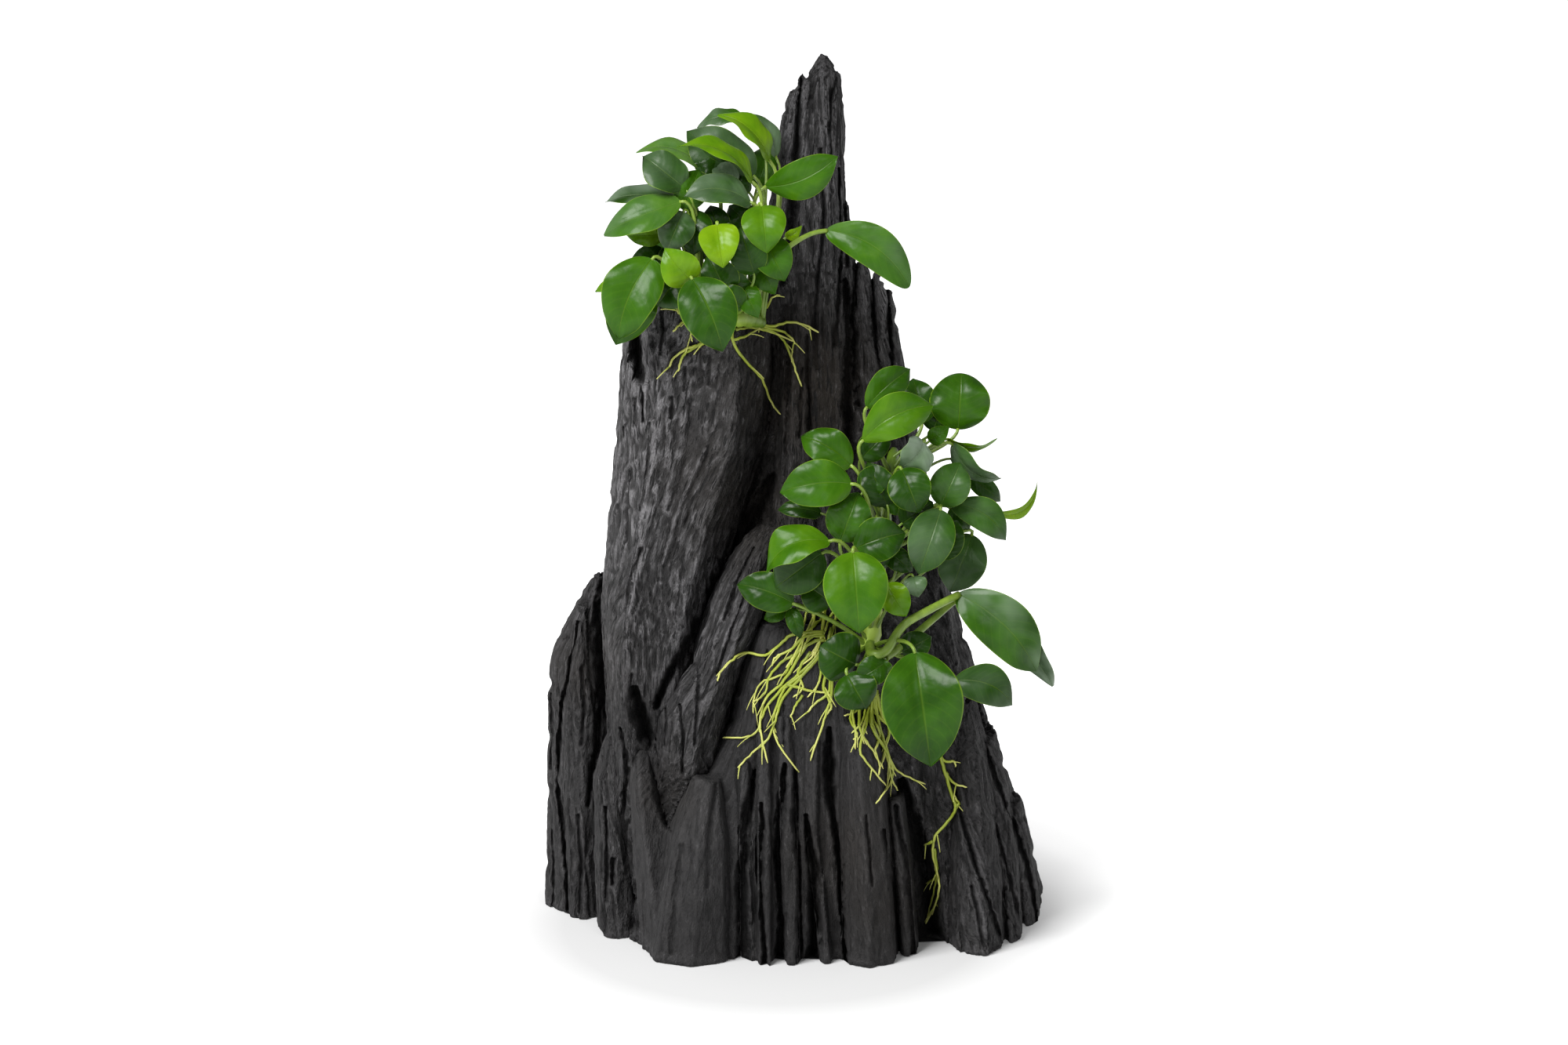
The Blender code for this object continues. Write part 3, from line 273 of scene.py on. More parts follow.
# Nicks in the outline, cut in from all around: (column, row, radius in columns, depth in millimetres)
NICKS = {
    "driftwood_trunk": [
        (1029, 96, 4, 2.0), (1014, 107, 5, 1.8), (1001, 140, 6, 1.2), (1068, 87, 5, 1.6),
        (1078, 128, 5, 1.2),
        (988, 210, 8, 1.0), (1078, 200, 6, 0.8), (1084, 305, 5, 1.2), (1108, 338, 4, 2.0),
        (1125, 356, 4, 2.0),
        (1091, 342, 4, 1.8), (1112, 352, 3, 0.8), (1128, 366, 3, 0.8),
        (1143, 410, 7, 1.4), (1174, 560, 10, 1.2), (1190, 635, 8, 1.4), (1212, 745, 10, 1.2),
        (1230, 812, 6, 1.5),
        (789, 452, 8, 1.4), (783, 560, 9, 1.2), (777, 640, 9, 1.0), (792, 420, 5, -1.0),
        (786, 500, 7, -0.8)],
    "driftwood_left_root": [
        (722, 812, 8, 1.4), (702, 872, 9, 1.8), (698, 845, 5, -1.4), (699, 940, 9, 1.2),
        (697, 1010, 9, 1.0),
        (745, 762, 6, 1.4), (694, 1100, 9, 1.2), (736, 1178, 5, 1.5), (766, 1190, 5, 1.5)],
    "driftwood_right_root": [
        (1283, 975, 7, 1.5), (1302, 1044, 6, 1.5), (1320, 1090, 7, 1.2), (1330, 1140, 6, 1.0),
        (1296, 1008, 4, -1.2)],
    "driftwood_front_root": [
        (962, 870, 6, 1.4), (930, 918, 7, 1.4), (898, 962, 7, 1.4), (944, 890, 5, -1.0),
        (866, 1010, 6, 1.2)],
}
# Right-hand edge of the smoother lobe, as (row, column), and how strong its long grooves are
LOBE_EDGE = [(300, 985), (545, 985), (600, 955), (659, 923), (743, 901), (860, 850), (1000, 800)]
LOBE_GROOVES = 0.3
LOBE_TOP_ROW = 376
LOBE_BLEND = 20.0
# Places of painted shade in the wood's recesses, hollows and low parts, and of painted light on lit faces:
# (column, row, radius across, radius down, strength), below 0 for paler
PAINTED_SHADE_AND_LIGHT_PLACES = [
    (1050, 500, 110, 140, 0.75), (1050, 1110, 130, 120, 0.35), (740, 1000, 70, 170, 0.2),
    (1180, 1000, 60, 200, 0.4), (880, 1150, 60, 90, 0.15), (965, 650, 60, 90, 0.5), (822, 925, 26, 40, 0.9),
    (1010, 930, 90, 90, 0.3), (990, 1120, 50, 110, 0.3), (850, 590, 95, 210, -0.42),
    (1250, 1120, 60, 100, -0.12), (900, 830, 40, 80, -0.12),
    (1105, 395, 7, 60, -0.40), (1128, 405, 6, 50, -0.35), (1112, 470, 8, 45, -0.25)]
# Brownish places of the wood: (column, row, radius in columns, strength)
BROWN_PLACES = [
    (1030, 500, 90, 0.8), (965, 650, 70, 0.6), (1080, 1090, 70, 0.35), (850, 1010, 40, 0.3),
    (745, 850, 50, 0.3),
    (1130, 1150, 60, 0.3), (900, 600, 60, 0.25)]

# Places of a leaf's width, roll, arch and tone in its row of the tables below
LEAF_WIDTH, LEAF_ROLL, LEAF_ARCH, LEAF_TONE = 6, 7, 8, 9

# Leaves that stand for solids: base column, row, depth; tip column, row, depth; width in columns; roll in
# degrees; arch in millimetres; tone from old and dark (0) to young and yellow (1)
UPPER_LEAVES = {
    "front_left": (832, 330, -66, 788, 432, -72, 72, 10, 4, 0.40),
    "behind_front_left": (818, 350, -52, 786, 440, -58, 60, -10, 4, 0.35),
    "front_middle": (883, 356, -74, 922, 448, -84, 70, 0, 5, 0.29),
    "left_high": (868, 257, -55, 769, 297, -58, 50, 30, 4, 0.45),
    "left_grey": (865, 255, -44, 772, 256, -40, 44, 55, 4, 0.20),
    "left_top": (873, 240, -50, 820, 198, -46, 50, 25, 4, 0.25),
    "top_far_left": (900, 215, -32, 812, 192, -26, 44, 55, 6, 0.55),
    "arched_bright": (960, 232, -42, 868, 183, -50, 40, 55, 7, 0.68),
    "top_dark": (962, 225, -30, 877, 165, -26, 54, 15, 5, 0.22),
    "top_yellow": (982, 205, -26, 920, 143, -28, 44, 50, 6, 0.71),
    "before_spire": (976, 238, -40, 1068, 200, -46, 50, 10, 4, 0.42),
    "heart": (972, 262, -60, 978, 322, -68, 55, 0, 4, 0.56),
    "bright_heart": (915, 286, -68, 922, 341, -76, 50, 0, 3, 0.79),
    "bright_cupped": (884, 360, -74, 848, 318, -76, 46, -10, 3, 0.68),
    "dark_low_left": (868, 352, -58, 838, 390, -62, 46, 0, 3, 0.22),
    "middle_grey": (958, 258, -50, 874, 248, -58, 46, 40, 4, 0.28),
    "right_low": (975, 305, -56, 1001, 358, -62, 46, 0, 4, 0.40),
    "right_lowest": (945, 362, -58, 967, 405, -64, 36, 0, 3, 0.42),
    "low_dark": (903, 345, -60, 957, 362, -62, 34, 20, 3, 0.25),
    "long_stalked": (1054, 293, -38, 1160, 366, -42, 52, 5, 5, 0.42),
}
LOWER_LEAVES = {
    "top_left": (1105, 520, -50, 1162, 471, -44, 42, 10, 4, 0.38),
    "top_large": (1100, 562, -70, 1190, 517, -66, 50, 5, 5, 0.53),
    "top_round": (1222, 548, -42, 1226, 476, -38, 76, 0, 4, 0.35),
    "top_dark": (1176, 540, -40, 1165, 482, -34, 46, 0, 4, 0.28),
    "curled": (1178, 563, -66, 1147, 598, -72, 46, -25, 4, 0.30),
    "right_grey": (1215, 566, -52, 1276, 612, -50, 40, 55, 6, 0.28),
    "upper_middle": (1200, 645, -64, 1225, 590, -60, 48, 0, 4, 0.32),
    "dark_middle": (1150, 598, -74, 1172, 654, -80, 50, 0, 4, 0.24),
    "far_right_curl": (1262, 652, -40, 1325, 617, -38, 22, 40, -5, 0.80),
    "right_drip": (1214, 642, -58, 1283, 690, -58, 42, 10, 4, 0.30),
    "right_hanging": (1240, 682, -42, 1212, 755, -48, 54, 0, 4, 0.30),
    "centre_right": (1200, 650, -76, 1172, 732, -84, 57, 0, 5, 0.26),
    "centre_low": (1090, 700, -86, 1155, 680, -84, 48, 0, 4, 0.27),
    "centre_high": (1072, 690, -84, 1095, 628, -80, 54, 0, 4, 0.34),
    "left_high": (1086, 617, -84, 995, 628, -86, 56, 5, 5, 0.42),
    "left_top": (1086, 594, -70, 1022, 556, -66, 44, 5, 4, 0.40),
    "left_arched": (1058, 690, -92, 976, 728, -92, 50, 35, 7, 0.49),
    "left_dark": (1049, 705, -84, 988, 750, -84, 52, 0, 4, 0.20),
    "far_left": (1012, 770, -80, 940, 745, -76, 44, 0, 4, 0.26),
    "bright_front": (1088, 704, -100, 1096, 808, -108, 77, 0, 5, 0.49),
    "bright_pointed": (1130, 745, -88, 1156, 786, -92, 36, 0, 3, 0.66),
    "right_large": (1222, 757, -74, 1322, 857, -74, 62, 5, 6, 0.33),
    "right_large_behind": (1240, 755, -62, 1342, 877, -58, 46, 45, 6, 0.22),
    "right_dark": (1216, 868, -80, 1292, 900, -78, 46, 5, 4, 0.18),
    "largest": (1167, 832, -104, 1187, 978, -114, 98, 0, 7, 0.31),
    "round_dark": (1092, 848, -88, 1046, 824, -90, 56, 0, 3, 0.20),
    "low_dark": (1080, 860, -92, 1105, 904, -96, 48, 0, 3, 0.24),
}
# Small leaves between them, in the same terms
UPPER_SMALL_LEAVES = {
    "yellow_tip": (808, 353, -48, 759, 371, -50, 17, 10, 2, 0.68),
    "edge_on_top": (950, 152, -15, 889, 163, -12, 30, 45, 4, 0.30),
    "by_spire": (990, 200, -22, 958, 144, -20, 28, 40, 4, 0.28),
    "dark_by_front_left": (850, 329, -46, 805, 331, -48, 33, 0, 3, 0.28),
    "grey_glossy": (872, 270, -54, 850, 321, -60, 44, 0, 4, 0.22),
    "dark_glossy": (888, 268, -50, 884, 326, -56, 42, 0, 4, 0.20),
    "bright_left": (848, 298, -48, 799, 300, -50, 27, -10, 3, 0.66),
    "middle_up": (872, 268, -50, 892, 216, -44, 40, 0, 3, 0.36),
    "grey_underside": (937, 238, -38, 909, 210, -36, 32, 20, 3, 0.34),
    "fill_gap": (900, 330, -46, 878, 286, -44, 40, 0, 3, 0.16),
    "fill_stalks": (918, 300, -48, 906, 262, -46, 34, 0, 3, 0.14),
    "fill_right": (975, 330, -52, 950, 300, -50, 36, 0, 3, 0.16),
    "fill_behind_top": (930, 215, -34, 884, 190, -30, 40, 0, 4, 0.16),
    "middle_dark": (956, 246, -35, 934, 226, -33, 22, 0, 3, 0.20),
    "right_hanging": (965, 335, -50, 988, 374, -56, 35, 0, 4, 0.38),
    "bright_by_stalk": (1002, 303, -38, 1022, 291, -40, 14, 20, 2, 0.80),
    "fill_by_heart": (962, 350, -63, 944, 290, -62, 44, 0, 4, 0.18),
    "fill_centre": (928, 376, -63, 903, 326, -64, 46, 0, 4, 0.20),
    "fill_low": (948, 392, -64, 914, 366, -66, 34, 0, 3, 0.26),
    "fill_left": (872, 330, -46, 838, 346, -48, 44, 0, 4, 0.18),
    "fill_above_heart": (958, 292, -46, 930, 262, -44, 38, 0, 4, 0.22),
    "back_one": (930, 230, -10, 905, 180, 6, 40, 0, 4, 0.30),
    "back_two": (965, 240, -8, 985, 185, 8, 38, 0, 4, 0.35),
    "back_three": (880, 250, -14, 838, 215, 4, 38, 0, 4, 0.30),
    "back_four": (925, 330, -20, 900, 290, 14, 44, 0, 4, 0.32),
    "back_five": (860, 330, -22, 826, 290, 4, 40, 0, 4, 0.28),
}
LOWER_SMALL_LEAVES = {
    "fill_upper": (1132, 645, -70, 1106, 590, -68, 42, 0, 4, 0.14),
    "fill_right": (1196, 712, -66, 1222, 664, -62, 40, 0, 4, 0.16),
    "fill_middle": (1150, 668, -72, 1190, 640, -70, 42, 0, 4, 0.16),
    "fill_centre": (1140, 716, -78, 1108, 690, -78, 44, 0, 4, 0.16),
    "fill_low": (1124, 868, -88, 1106, 838, -90, 40, 0, 3, 0.36),
    "fill_left": (1062, 770, -78, 1024, 742, -76, 46, 0, 4, 0.18),
    "behind_left": (1098, 585, -58, 1135, 548, -56, 35, 0, 4, 0.22),
    "behind_round": (1190, 550, -36, 1200, 520, -34, 35, 0, 4, 0.22),
    "by_curled": (1185, 563, -56, 1210, 545, -58, 22, 0, 3, 0.40),
    "green_tip": (1208, 560, -50, 1272, 562, -48, 20, 65, 4, 0.66),
    "grey_edge": (1212, 585, -48, 1240, 587, -48, 12, 60, 3, 0.30),
    "right_dark_one": (1235, 605, -42, 1277, 640, -42, 25, 0, 3, 0.22),
    "right_dark_two": (1212, 648, -48, 1237, 675, -50, 25, 0, 3, 0.22),
    "left_edge_on": (1048, 655, -74, 992, 650, -74, 26, 30, 3, 0.18),
    "far_left_back": (1003, 778, -74, 974, 790, -74, 18, 0, 2, 0.30),
    "far_left_low": (1008, 775, -76, 1021, 814, -80, 20, 0, 2, 0.24),
    "centre_dark": (1130, 701, -76, 1164, 729, -78, 28, 0, 3, 0.18),
    "centre_low_back": (1165, 735, -80, 1171, 761, -84, 28, 0, 3, 0.30),
    "low_left": (1130, 845, -92, 1092, 868, -94, 35, 0, 3, 0.30),
    "low_right": (1150, 832, -82, 1188, 812, -82, 35, 0, 3, 0.22),
    "middle_up": (1100, 628, -70, 1128, 595, -68, 35, 0, 3, 0.22),
    "middle_left": (1160, 650, -66, 1118, 622, -66, 33, 0, 3, 0.22),
}
# Habits of single leaves: widest place (more is nearer the tip), bluntness of the outline (less is blunter),
# sideways bow in millimetres, width against the solid's
HABITS = {
    "upper_before_spire": (1.05, 0.66, 3.0, 1.0),
    "upper_long_stalked": (0.95, 0.52, -6.0, 1.0),
    "upper_left_high": (0.85, 0.62, -2.0, 1.05),
    "upper_top_dark": (0.85, 0.60, -3.0, 1.30),
    "upper_left_grey": (0.85, 0.62, -2.0, 1.0),
    "upper_middle_grey": (0.85, 0.58, 2.0, 1.15),
    "upper_top_yellow": (0.90, 0.60, -2.0, 1.0),
    "upper_bright_heart": (0.66, 0.56, 0.0, 1.0),
    "upper_left_top": (0.85, 0.60, -2.0, 1.10),
    "upper_dark_low_left": (0.80, 0.58, 0.0, 1.30),
    "upper_right_lowest": (0.80, 0.60, 0.0, 0.90),
    "upper_front_left": (0.80, 0.56, 2.0, 1.0),
    "upper_front_middle": (0.85, 0.58, -1.5, 1.0),
    "upper_heart": (0.72, 0.60, 0.0, 1.0),
    "lower_top_large": (1.10, 0.60, -4.0, 1.10),
    "lower_top_left": (1.00, 0.60, -2.0, 1.0),
    "lower_top_round": (0.95, 0.50, 0.0, 1.0),
    "lower_left_high": (0.85, 0.58, 1.5, 1.05),
    "lower_left_top": (0.90, 0.56, 1.5, 1.10),
    "lower_far_left": (0.85, 0.58, 1.5, 1.10),
    "lower_far_right_curl": (0.80, 0.75, 14.0, 0.80),
    "lower_right_drip": (0.85, 0.66, -5.0, 1.0),
    "lower_right_large": (0.90, 0.56, -5.0, 1.10),
    "lower_right_large_behind": (1.00, 0.62, -9.5, 1.1),
    "lower_right_dark": (0.85, 0.60, -5.0, 1.10),
    "lower_largest": (0.82, 0.66, 0.0, 1.02),
    "lower_bright_front": (0.76, 0.62, 0.0, 1.03),
    "lower_round_dark": (0.85, 0.50, 0.0, 1.15),
    "lower_right_hanging": (0.90, 0.52, 0.0, 1.12),
    "lower_centre_right": (0.85, 0.54, 0.0, 1.0),
    "lower_centre_low": (0.85, 0.58, -1.0, 1.15),
    "lower_centre_high": (0.85, 0.56, 0.0, 1.05),
    "lower_upper_middle": (0.85, 0.54, 0.0, 1.05),
    "lower_dark_middle": (0.85, 0.58, 0.0, 1.08),
    "lower_left_arched": (0.90, 0.60, 2.0, 1.10),
    "lower_left_dark": (0.85, 0.54, 0.0, 1.15),
    "lower_low_dark": (0.85, 0.52, 0.0, 1.15),
}
# Leaves with a painted grey sheen that stands in for reflections of pale surroundings: how much, and how far
# to one side of the midrib (-1 to 1)
PAINTED_SHEEN_LEAVES = {
    "upper_left_grey": (0.55, 0.0), "upper_middle_grey": (0.36, 0.3), "upper_top_far_left": (0.45, 0.4),
    "upper_left_top": (0.25, 0.3), "upper_top_dark": (0.20, 0.5), "upper_left_high": (0.15, 0.4),
    "upper small grey_glossy": (0.40, 0.3), "upper small grey_underside": (0.60, 0.0),
    "upper small edge_on_top": (0.50, 0.0), "upper small by_spire": (0.30, 0.0),
    "upper_long_stalked": (0.12, -0.8),
    "lower_curled": (1.0, 0.0), "lower_right_grey": (0.60, 0.5), "lower small grey_edge": (0.9, 0.0),
    "lower_right_hanging": (0.28, 0.4), "lower_centre_right": (0.20, 0.5), "lower_right_large": (0.34, -0.9),
    "lower_right_large_behind": (0.45, 0.0), "lower_right_drip": (0.20, 0.5), "lower_right_dark": (0.25, 0.6),
    "lower_upper_middle": (0.15, 0.5), "lower_left_dark": (0.10, 0.5),
    "lower small centre_low_back": (0.5, 0.0),
}
USUAL_HABIT = (0.80, 0.60, 0.0, 1.05)
# The plain blade of each solid: places along it, rise of its folded edges, outline and thickness
BLADE_STATIONS = (0.0, 0.06, 0.24, 0.50, 0.78, 1.0)
FOLD_RISE = 0.16
OUTLINE_SKEW = 0.72
SOLID_OUTLINE_POWER = 0.85
BLADE_THICKNESS = 1.3 * MM
BLADE_END_THICKNESS = 0.5 * MM
# Its least half width at the stalk, and the share of that lost towards the tip
STALK_HALF_WIDTH = 0.95 * MM
STALK_HALF_LOSS = 0.6
# Thickness of the finished blade at its midrib
BLADE_SKIN = 0.45 * MM
# Tips: how pointed they are, and how far along a blade they start
TIP_POINT = 0.55
TIP_START = 0.80
# How far the waves of the two margins are out of step
MARGIN_STEP = 1.7
# No shift, for small blades, which stand for no solid
NO_SHIFT = Vector((0.0, 0.0, 0.0))
# Blades with round tips
ROUND_TIPPED = ("lower_top_round", "lower_curled", "upper_long_stalked")
# Rows and columns of a finished blade, and its least half width
BLADE_ROWS = 26
BLADE_COLUMNS = 14
LEAST_HALF_WIDTH = 0.35 * MM
# Least and most of what differs from blade to blade: fold and crown against the half width, wave against the
# width, number of waves, twist in degrees, and droop of the tip in millimetres
FOLDS = (0.42, 0.60)
CROWNS = (0.34, 0.50)
WAVES = (0.03, 0.08)
WAVE_COUNTS = (1.4, 2.4)
TWISTS = (-9, 9)
DROOPS = (8, 26)
# Along a blade: where its twist is nothing, and where it starts to droop
UNTWISTED_AT = 0.4
DROOP_START = 0.70

# Rhizomes: (column, row, radius in millimetres)
UPPER_RHIZOME = [(890, 412, 2.4), (912, 408, 3.4), (935, 406, 3.8), (957, 408, 3.4), (972, 412, 2.2)]
LOWER_RHIZOME = [
    (1109, 827, 4.2), (1113, 796, 4.2), (1116, 745, 4.0), (1122, 690, 3.8), (1130, 640, 3.6),
    (1136, 600, 3.2),
    (1140, 575, 2.2)]
# Stalks that take a way of their own, as (column, row, depth in millimetres)
STALK_WAYS = {
    "long_stalked": [(968, 372, -48), (985, 335, -50), (1010, 312, -46), (1035, 298, -41)],
    "right_large": [(1112, 834, -90), (1130, 830, -92), (1152, 798, -90), (1187, 777, -84)],
    "right_large_behind": [
        (1112, 838, -90), (1130, 838, -86), (1157, 818, -80), (1190, 790, -70), (1220, 765, -64)],
}
STALK_THICKNESS = {"long_stalked": 1.25, "right_large": 2.1, "right_large_behind": 1.8}
STALK_RADIUS = 0.85 * MM
# A stalk reaches this far into its blade, and starts at the stem's place nearest to one this far below it
STALK_INTO_BLADE = 0.6 * MM
STALK_DROP = 30 * MM
# Bend of a stalk: share of its length, how its start heads out and up and for what share, how far its end
# goes back, and the number of its steps
STALK_BEND = 0.22
STALK_START_WAY = (0.0, -0.5, 0.8)
STALK_START_SHARE = 0.16
STALK_BACK = 0.5 * MM
STALK_STEPS = 12
# Roots: radius, least and most wander in columns, how many places there are to a side root, the least and
# most length of one in millimetres, and its steps
ROOT_RADIUS = 0.72 * MM
ROOT_WANDER = (-0.6, 0.6)
PLACES_TO_SIDE_ROOT = 9
SIDE_ROOT_LENGTHS = (4, 10)
SIDE_ROOT_STEPS = 4
# How far to each side the wood is felt for, in columns, so that stems and roots bridge narrow clefts
RHIZOME_PROBE = 5
ROOT_PROBE = 2
# A rhizome is raised by this much at a time, and at most so often, until it is clear of the wood
LIFT_STEP = 0.4 * MM
LIFT_TRIES = 40

# Roots: chains of (column, row) down the wood
UPPER_ROOTS = [
    [(938, 404), (960, 411), (984, 416), (1007, 411), (1028, 415), (1044, 424)],
    [(938, 404), (970, 416), (998, 423), (1008, 430), (1015, 439)],
    [(938, 408), (968, 418), (993, 427), (1007, 450), (1015, 473), (1023, 493)],
    [(935, 410), (935, 436), (952, 462), (972, 484), (984, 513), (995, 528)],
    [(935, 434), (952, 428), (970, 418)],
    [(938, 421), (958, 418), (984, 424), (1013, 436)],
    [(933, 408), (905, 428), (896, 439), (878, 444), (860, 456), (853, 469)],
    [(896, 437), (875, 450), (868, 462), (865, 474)],
    [(930, 404), (900, 418), (882, 424), (883, 436)],
    [(900, 400), (880, 405), (866, 415), (858, 424)],
    [(890, 398), (868, 400), (862, 390)],
    [(960, 400), (978, 392), (984, 380), (995, 376)]]
LOWER_LEFT_ROOTS = [
    [(1052, 806), (1012, 809), (999, 818), (976, 836), (950, 832), (932, 844), (920, 856), (915, 869)],
    [(1052, 812), (1033, 814), (1010, 844), (999, 860), (971, 871), (962, 890), (961, 910)],
    [(1052, 816), (1029, 824), (1001, 867), (976, 892), (970, 930), (979, 973)],
    [(1055, 820), (1030, 850), (1003, 873), (980, 899), (971, 917), (964, 935), (946, 941), (921, 941)],
    [(1058, 822), (1024, 860), (1001, 878), (987, 913), (987, 931), (996, 954), (1019, 985)],
    [(1056, 824), (1018, 868), (999, 890), (989, 919), (980, 942), (960, 960), (941, 979)],
    [(1062, 822), (1061, 883), (1056, 903), (1047, 931), (1033, 970)],
    [(1058, 840), (1058, 880), (1040, 897), (1029, 909)],
    [(1003, 873), (1029, 880), (1058, 884)],
    [(1024, 887), (1015, 899), (1008, 915)],
    [(1052, 760), (1049, 800), (1042, 830), (1022, 850)],
    [(1040, 756), (1037, 775), (1035, 793), (1020, 818)],
    [(1070, 772), (1060, 785), (1047, 815), (1030, 840)],
    [(1060, 800), (1048, 850), (1044, 872), (1030, 890)],
    [(1050, 808), (1026, 812), (1010, 828), (990, 838), (985, 850)],
    [(1034, 832), (1018, 856), (1024, 876), (1012, 890)],
    [(1012, 836), (996, 846), (980, 866), (976, 884), (960, 896)],
    [(1048, 790), (1030, 806), (1014, 834), (1002, 852)],
    [(1062, 846), (1050, 874), (1060, 900), (1052, 914)],
    [(1046, 728), (1041, 765), (1036, 800), (1022, 832)],
    [(1058, 735), (1053, 775), (1047, 812), (1036, 836)],
    [(1036, 742), (1030, 775), (1024, 800), (1008, 832)],
    [(1064, 760), (1066, 790), (1056, 822), (1050, 850)]]
LOWER_MIDDLE_ROOTS = [
    [(1108, 874), (1088, 903), (1091, 930), (1091, 956)],
    [(1110, 876), (1107, 913), (1097, 956), (1112, 980), (1130, 1002)],
    [(1112, 878), (1109, 919), (1130, 958), (1143, 981), (1160, 992), (1180, 1000)],
    [(1114, 878), (1113, 924), (1132, 961), (1134, 986), (1130, 1009)],
    [(1114, 880), (1120, 920), (1130, 952), (1139, 987), (1130, 1008), (1117, 1025)],
    [(1116, 876), (1120, 913), (1136, 987), (1145, 1009)],
    [(1112, 905), (1130, 922), (1148, 939)],
    [(1104, 895), (1090, 908), (1077, 913)],
    [(1100, 880), (1096, 925), (1108, 950), (1118, 962)],
    [(1118, 880), (1126, 915), (1142, 925), (1158, 946)],
    [(1106, 880), (1100, 920), (1086, 935)],
    [(1098, 884), (1108, 904), (1100, 932), (1106, 950)],
    [(1120, 884), (1112, 912), (1122, 936), (1116, 960), (1126, 978)],
    [(1094, 890), (1084, 916), (1094, 936), (1088, 944)],
    [(1124, 900), (1134, 930), (1128, 960), (1120, 990)]]
LOWER_LONG_ROOT = [
    [(1182, 932), (1200, 968), (1206, 987), (1216, 1019), (1219, 1032), (1209, 1048), (1193, 1067),
     (1190, 1086), (1193, 1105), (1198, 1130), (1193, 1153), (1181, 1178)],
    [(1184, 936), (1203, 969), (1216, 971), (1219, 978)],
    [(1206, 985), (1211, 993), (1219, 1000), (1233, 1004)],
    [(1192, 1083), (1195, 1114), (1189, 1146), (1182, 1172)],
    [(1190, 1073), (1179, 1078)],
    [(1192, 1121), (1181, 1127)],
    [(1219, 1030), (1223, 1024), (1217, 1018)]]

# Colours by their place on a ramp, darkest first, and the colours of single marks
WOOD_TONES = [
    (0.0, (0.004, 0.004, 0.004)), (0.30, (0.011, 0.0105, 0.0108)), (0.60, (0.026, 0.025, 0.0255)),
    (0.80, (0.062, 0.060, 0.062)), (1.0, (0.150, 0.146, 0.151))]
WOOD_BROWN = (0.024, 0.018, 0.012)
WOOD_FLECK = (0.140, 0.136, 0.140)
WOOD_TICK = (0.003, 0.003, 0.003)
LEAF_TONES = [
    (0.0, (0.005, 0.018, 0.001)), (0.25, (0.011, 0.042, 0.001)), (0.45, (0.026, 0.088, 0.001)),
    (0.65, (0.062, 0.150, 0.001)), (0.85, (0.130, 0.235, 0.002)), (1.0, (0.250, 0.340, 0.010))]
LEAF_RIM = (0.17, 0.27, 0.02)
# Grey of the painted sheen that stands in for reflections on some leaves
PAINTED_SHEEN_COLOUR = (0.20, 0.26, 0.19)
STEM_TONES = [(0.0, (0.03, 0.06, 0.005)), (0.5, (0.09, 0.16, 0.01)), (1.0, (0.27, 0.38, 0.05))]
ROOT_TONES = [(0.0, (0.10, 0.13, 0.006)), (0.5, (0.23, 0.28, 0.016)), (1.0, (0.46, 0.46, 0.13))]

# Floor: its size and how far it lies below the base, in metres, and how pale it is
FLOOR_SIZE = 60.0
FLOOR_GAP = 0.4 * MM
FLOOR_ALBEDO = 0.62
# Middle and reach of the foot on the floor, around which the painted contact shadow lies, in metres
FOOT_CENTRE = (-0.008, -0.020)
FOOT_REACH = (0.100, 0.122)
# Glow of the floor by distance from the foot's middle, where GLOW_SCALE is one reach: painted light, dimmed
# beside the foot into a painted contact shadow
GLOW_SCALE = 0.1
FLOOR_GLOW_AND_PAINTED_SHADOW = [
    (0.0, 0.0), (0.098, 0.03), (0.118, 0.20), (0.142, 0.48), (0.17, 0.74), (0.22, 0.88), (1.0, 0.90)]
# Soft square lights: name -> (place and width in metres, power in watts), and the place they look at
LIGHTS = {"key": ((-1.10, -1.40, 1.95), 1.1, 100.0), "front fill": ((0.7, -2.0, 1.5), 0.5, 6.0)}
LIGHT_AIM = (0.0, 0.0, 0.2)
# Brightness of the room by how far up it is: white walls, a dim ceiling
WALL_TO_CEILING = [
    (0.0, (0.72, 0.72, 0.72)), (0.10, (0.72, 0.72, 0.72)), (0.34, (0.30, 0.30, 0.30)),
    (1.0, (0.22, 0.22, 0.22))]


def from_view(column, row, depth):
    """Point at a given Y that the front view shows at this column and row."""
    right = Vector((1.0, 0.0, 0.0)) * ((column - VIEW_CENTRE_COLUMN) * VIEW_STEP)
    rise = VIEW_UP * ((VIEW_CENTRE_ROW - row) * VIEW_STEP)
    ray = VIEW_FORWARD * VIEW_DISTANCE + right + rise
    return VIEW_EYE + ray * ((depth - VIEW_EYE.y) / ray.y)


def to_view(points):
    """Column and row at which the front view shows each point."""
    offset = points - np.array(VIEW_EYE)
    reach = offset @ np.array(VIEW_FORWARD)
    scale = VIEW_DISTANCE / VIEW_STEP / reach
    return VIEW_CENTRE_COLUMN + offset[:, 0] * scale, VIEW_CENTRE_ROW - (offset @ np.array(VIEW_UP)) * scale


def lattice_noise(places, seed):
    """Smooth random field from about -1 to 1 with one bump per unit of each coordinate."""
    cell = np.floor(places).astype(np.int64)
    part = places - cell
    fade = part * part * part * (part * (part * 6 - 15) + 10)
    total = np.zeros(len(places))
    for corner in ((a, b, c) for a in (0, 1) for b in (0, 1) for c in (0, 1)):
        index = cell + np.array(corner)
        key = (index[:, 0] * 374761393 + index[:, 1] * 668265263 + index[:, 2] * 2147483647
               + seed * 1274126177) & 0xFFFFFFFF
        key = ((key ^ (key >> 13)) * 1274126177) & 0xFFFFFFFF
        key = key ^ (key >> 16)
        slope = np.stack([(key & 1023), (key >> 10) & 1023, (key >> 20) & 1023], axis=1) / 511.5 - 1.0
        offset = part - np.array(corner)
        weight = np.prod(np.where(np.array(corner) == 1, fade, 1 - fade), axis=1)
        total += weight * np.sum(slope * offset, axis=1)
    return np.clip(total * 1.5, -1.0, 1.0)


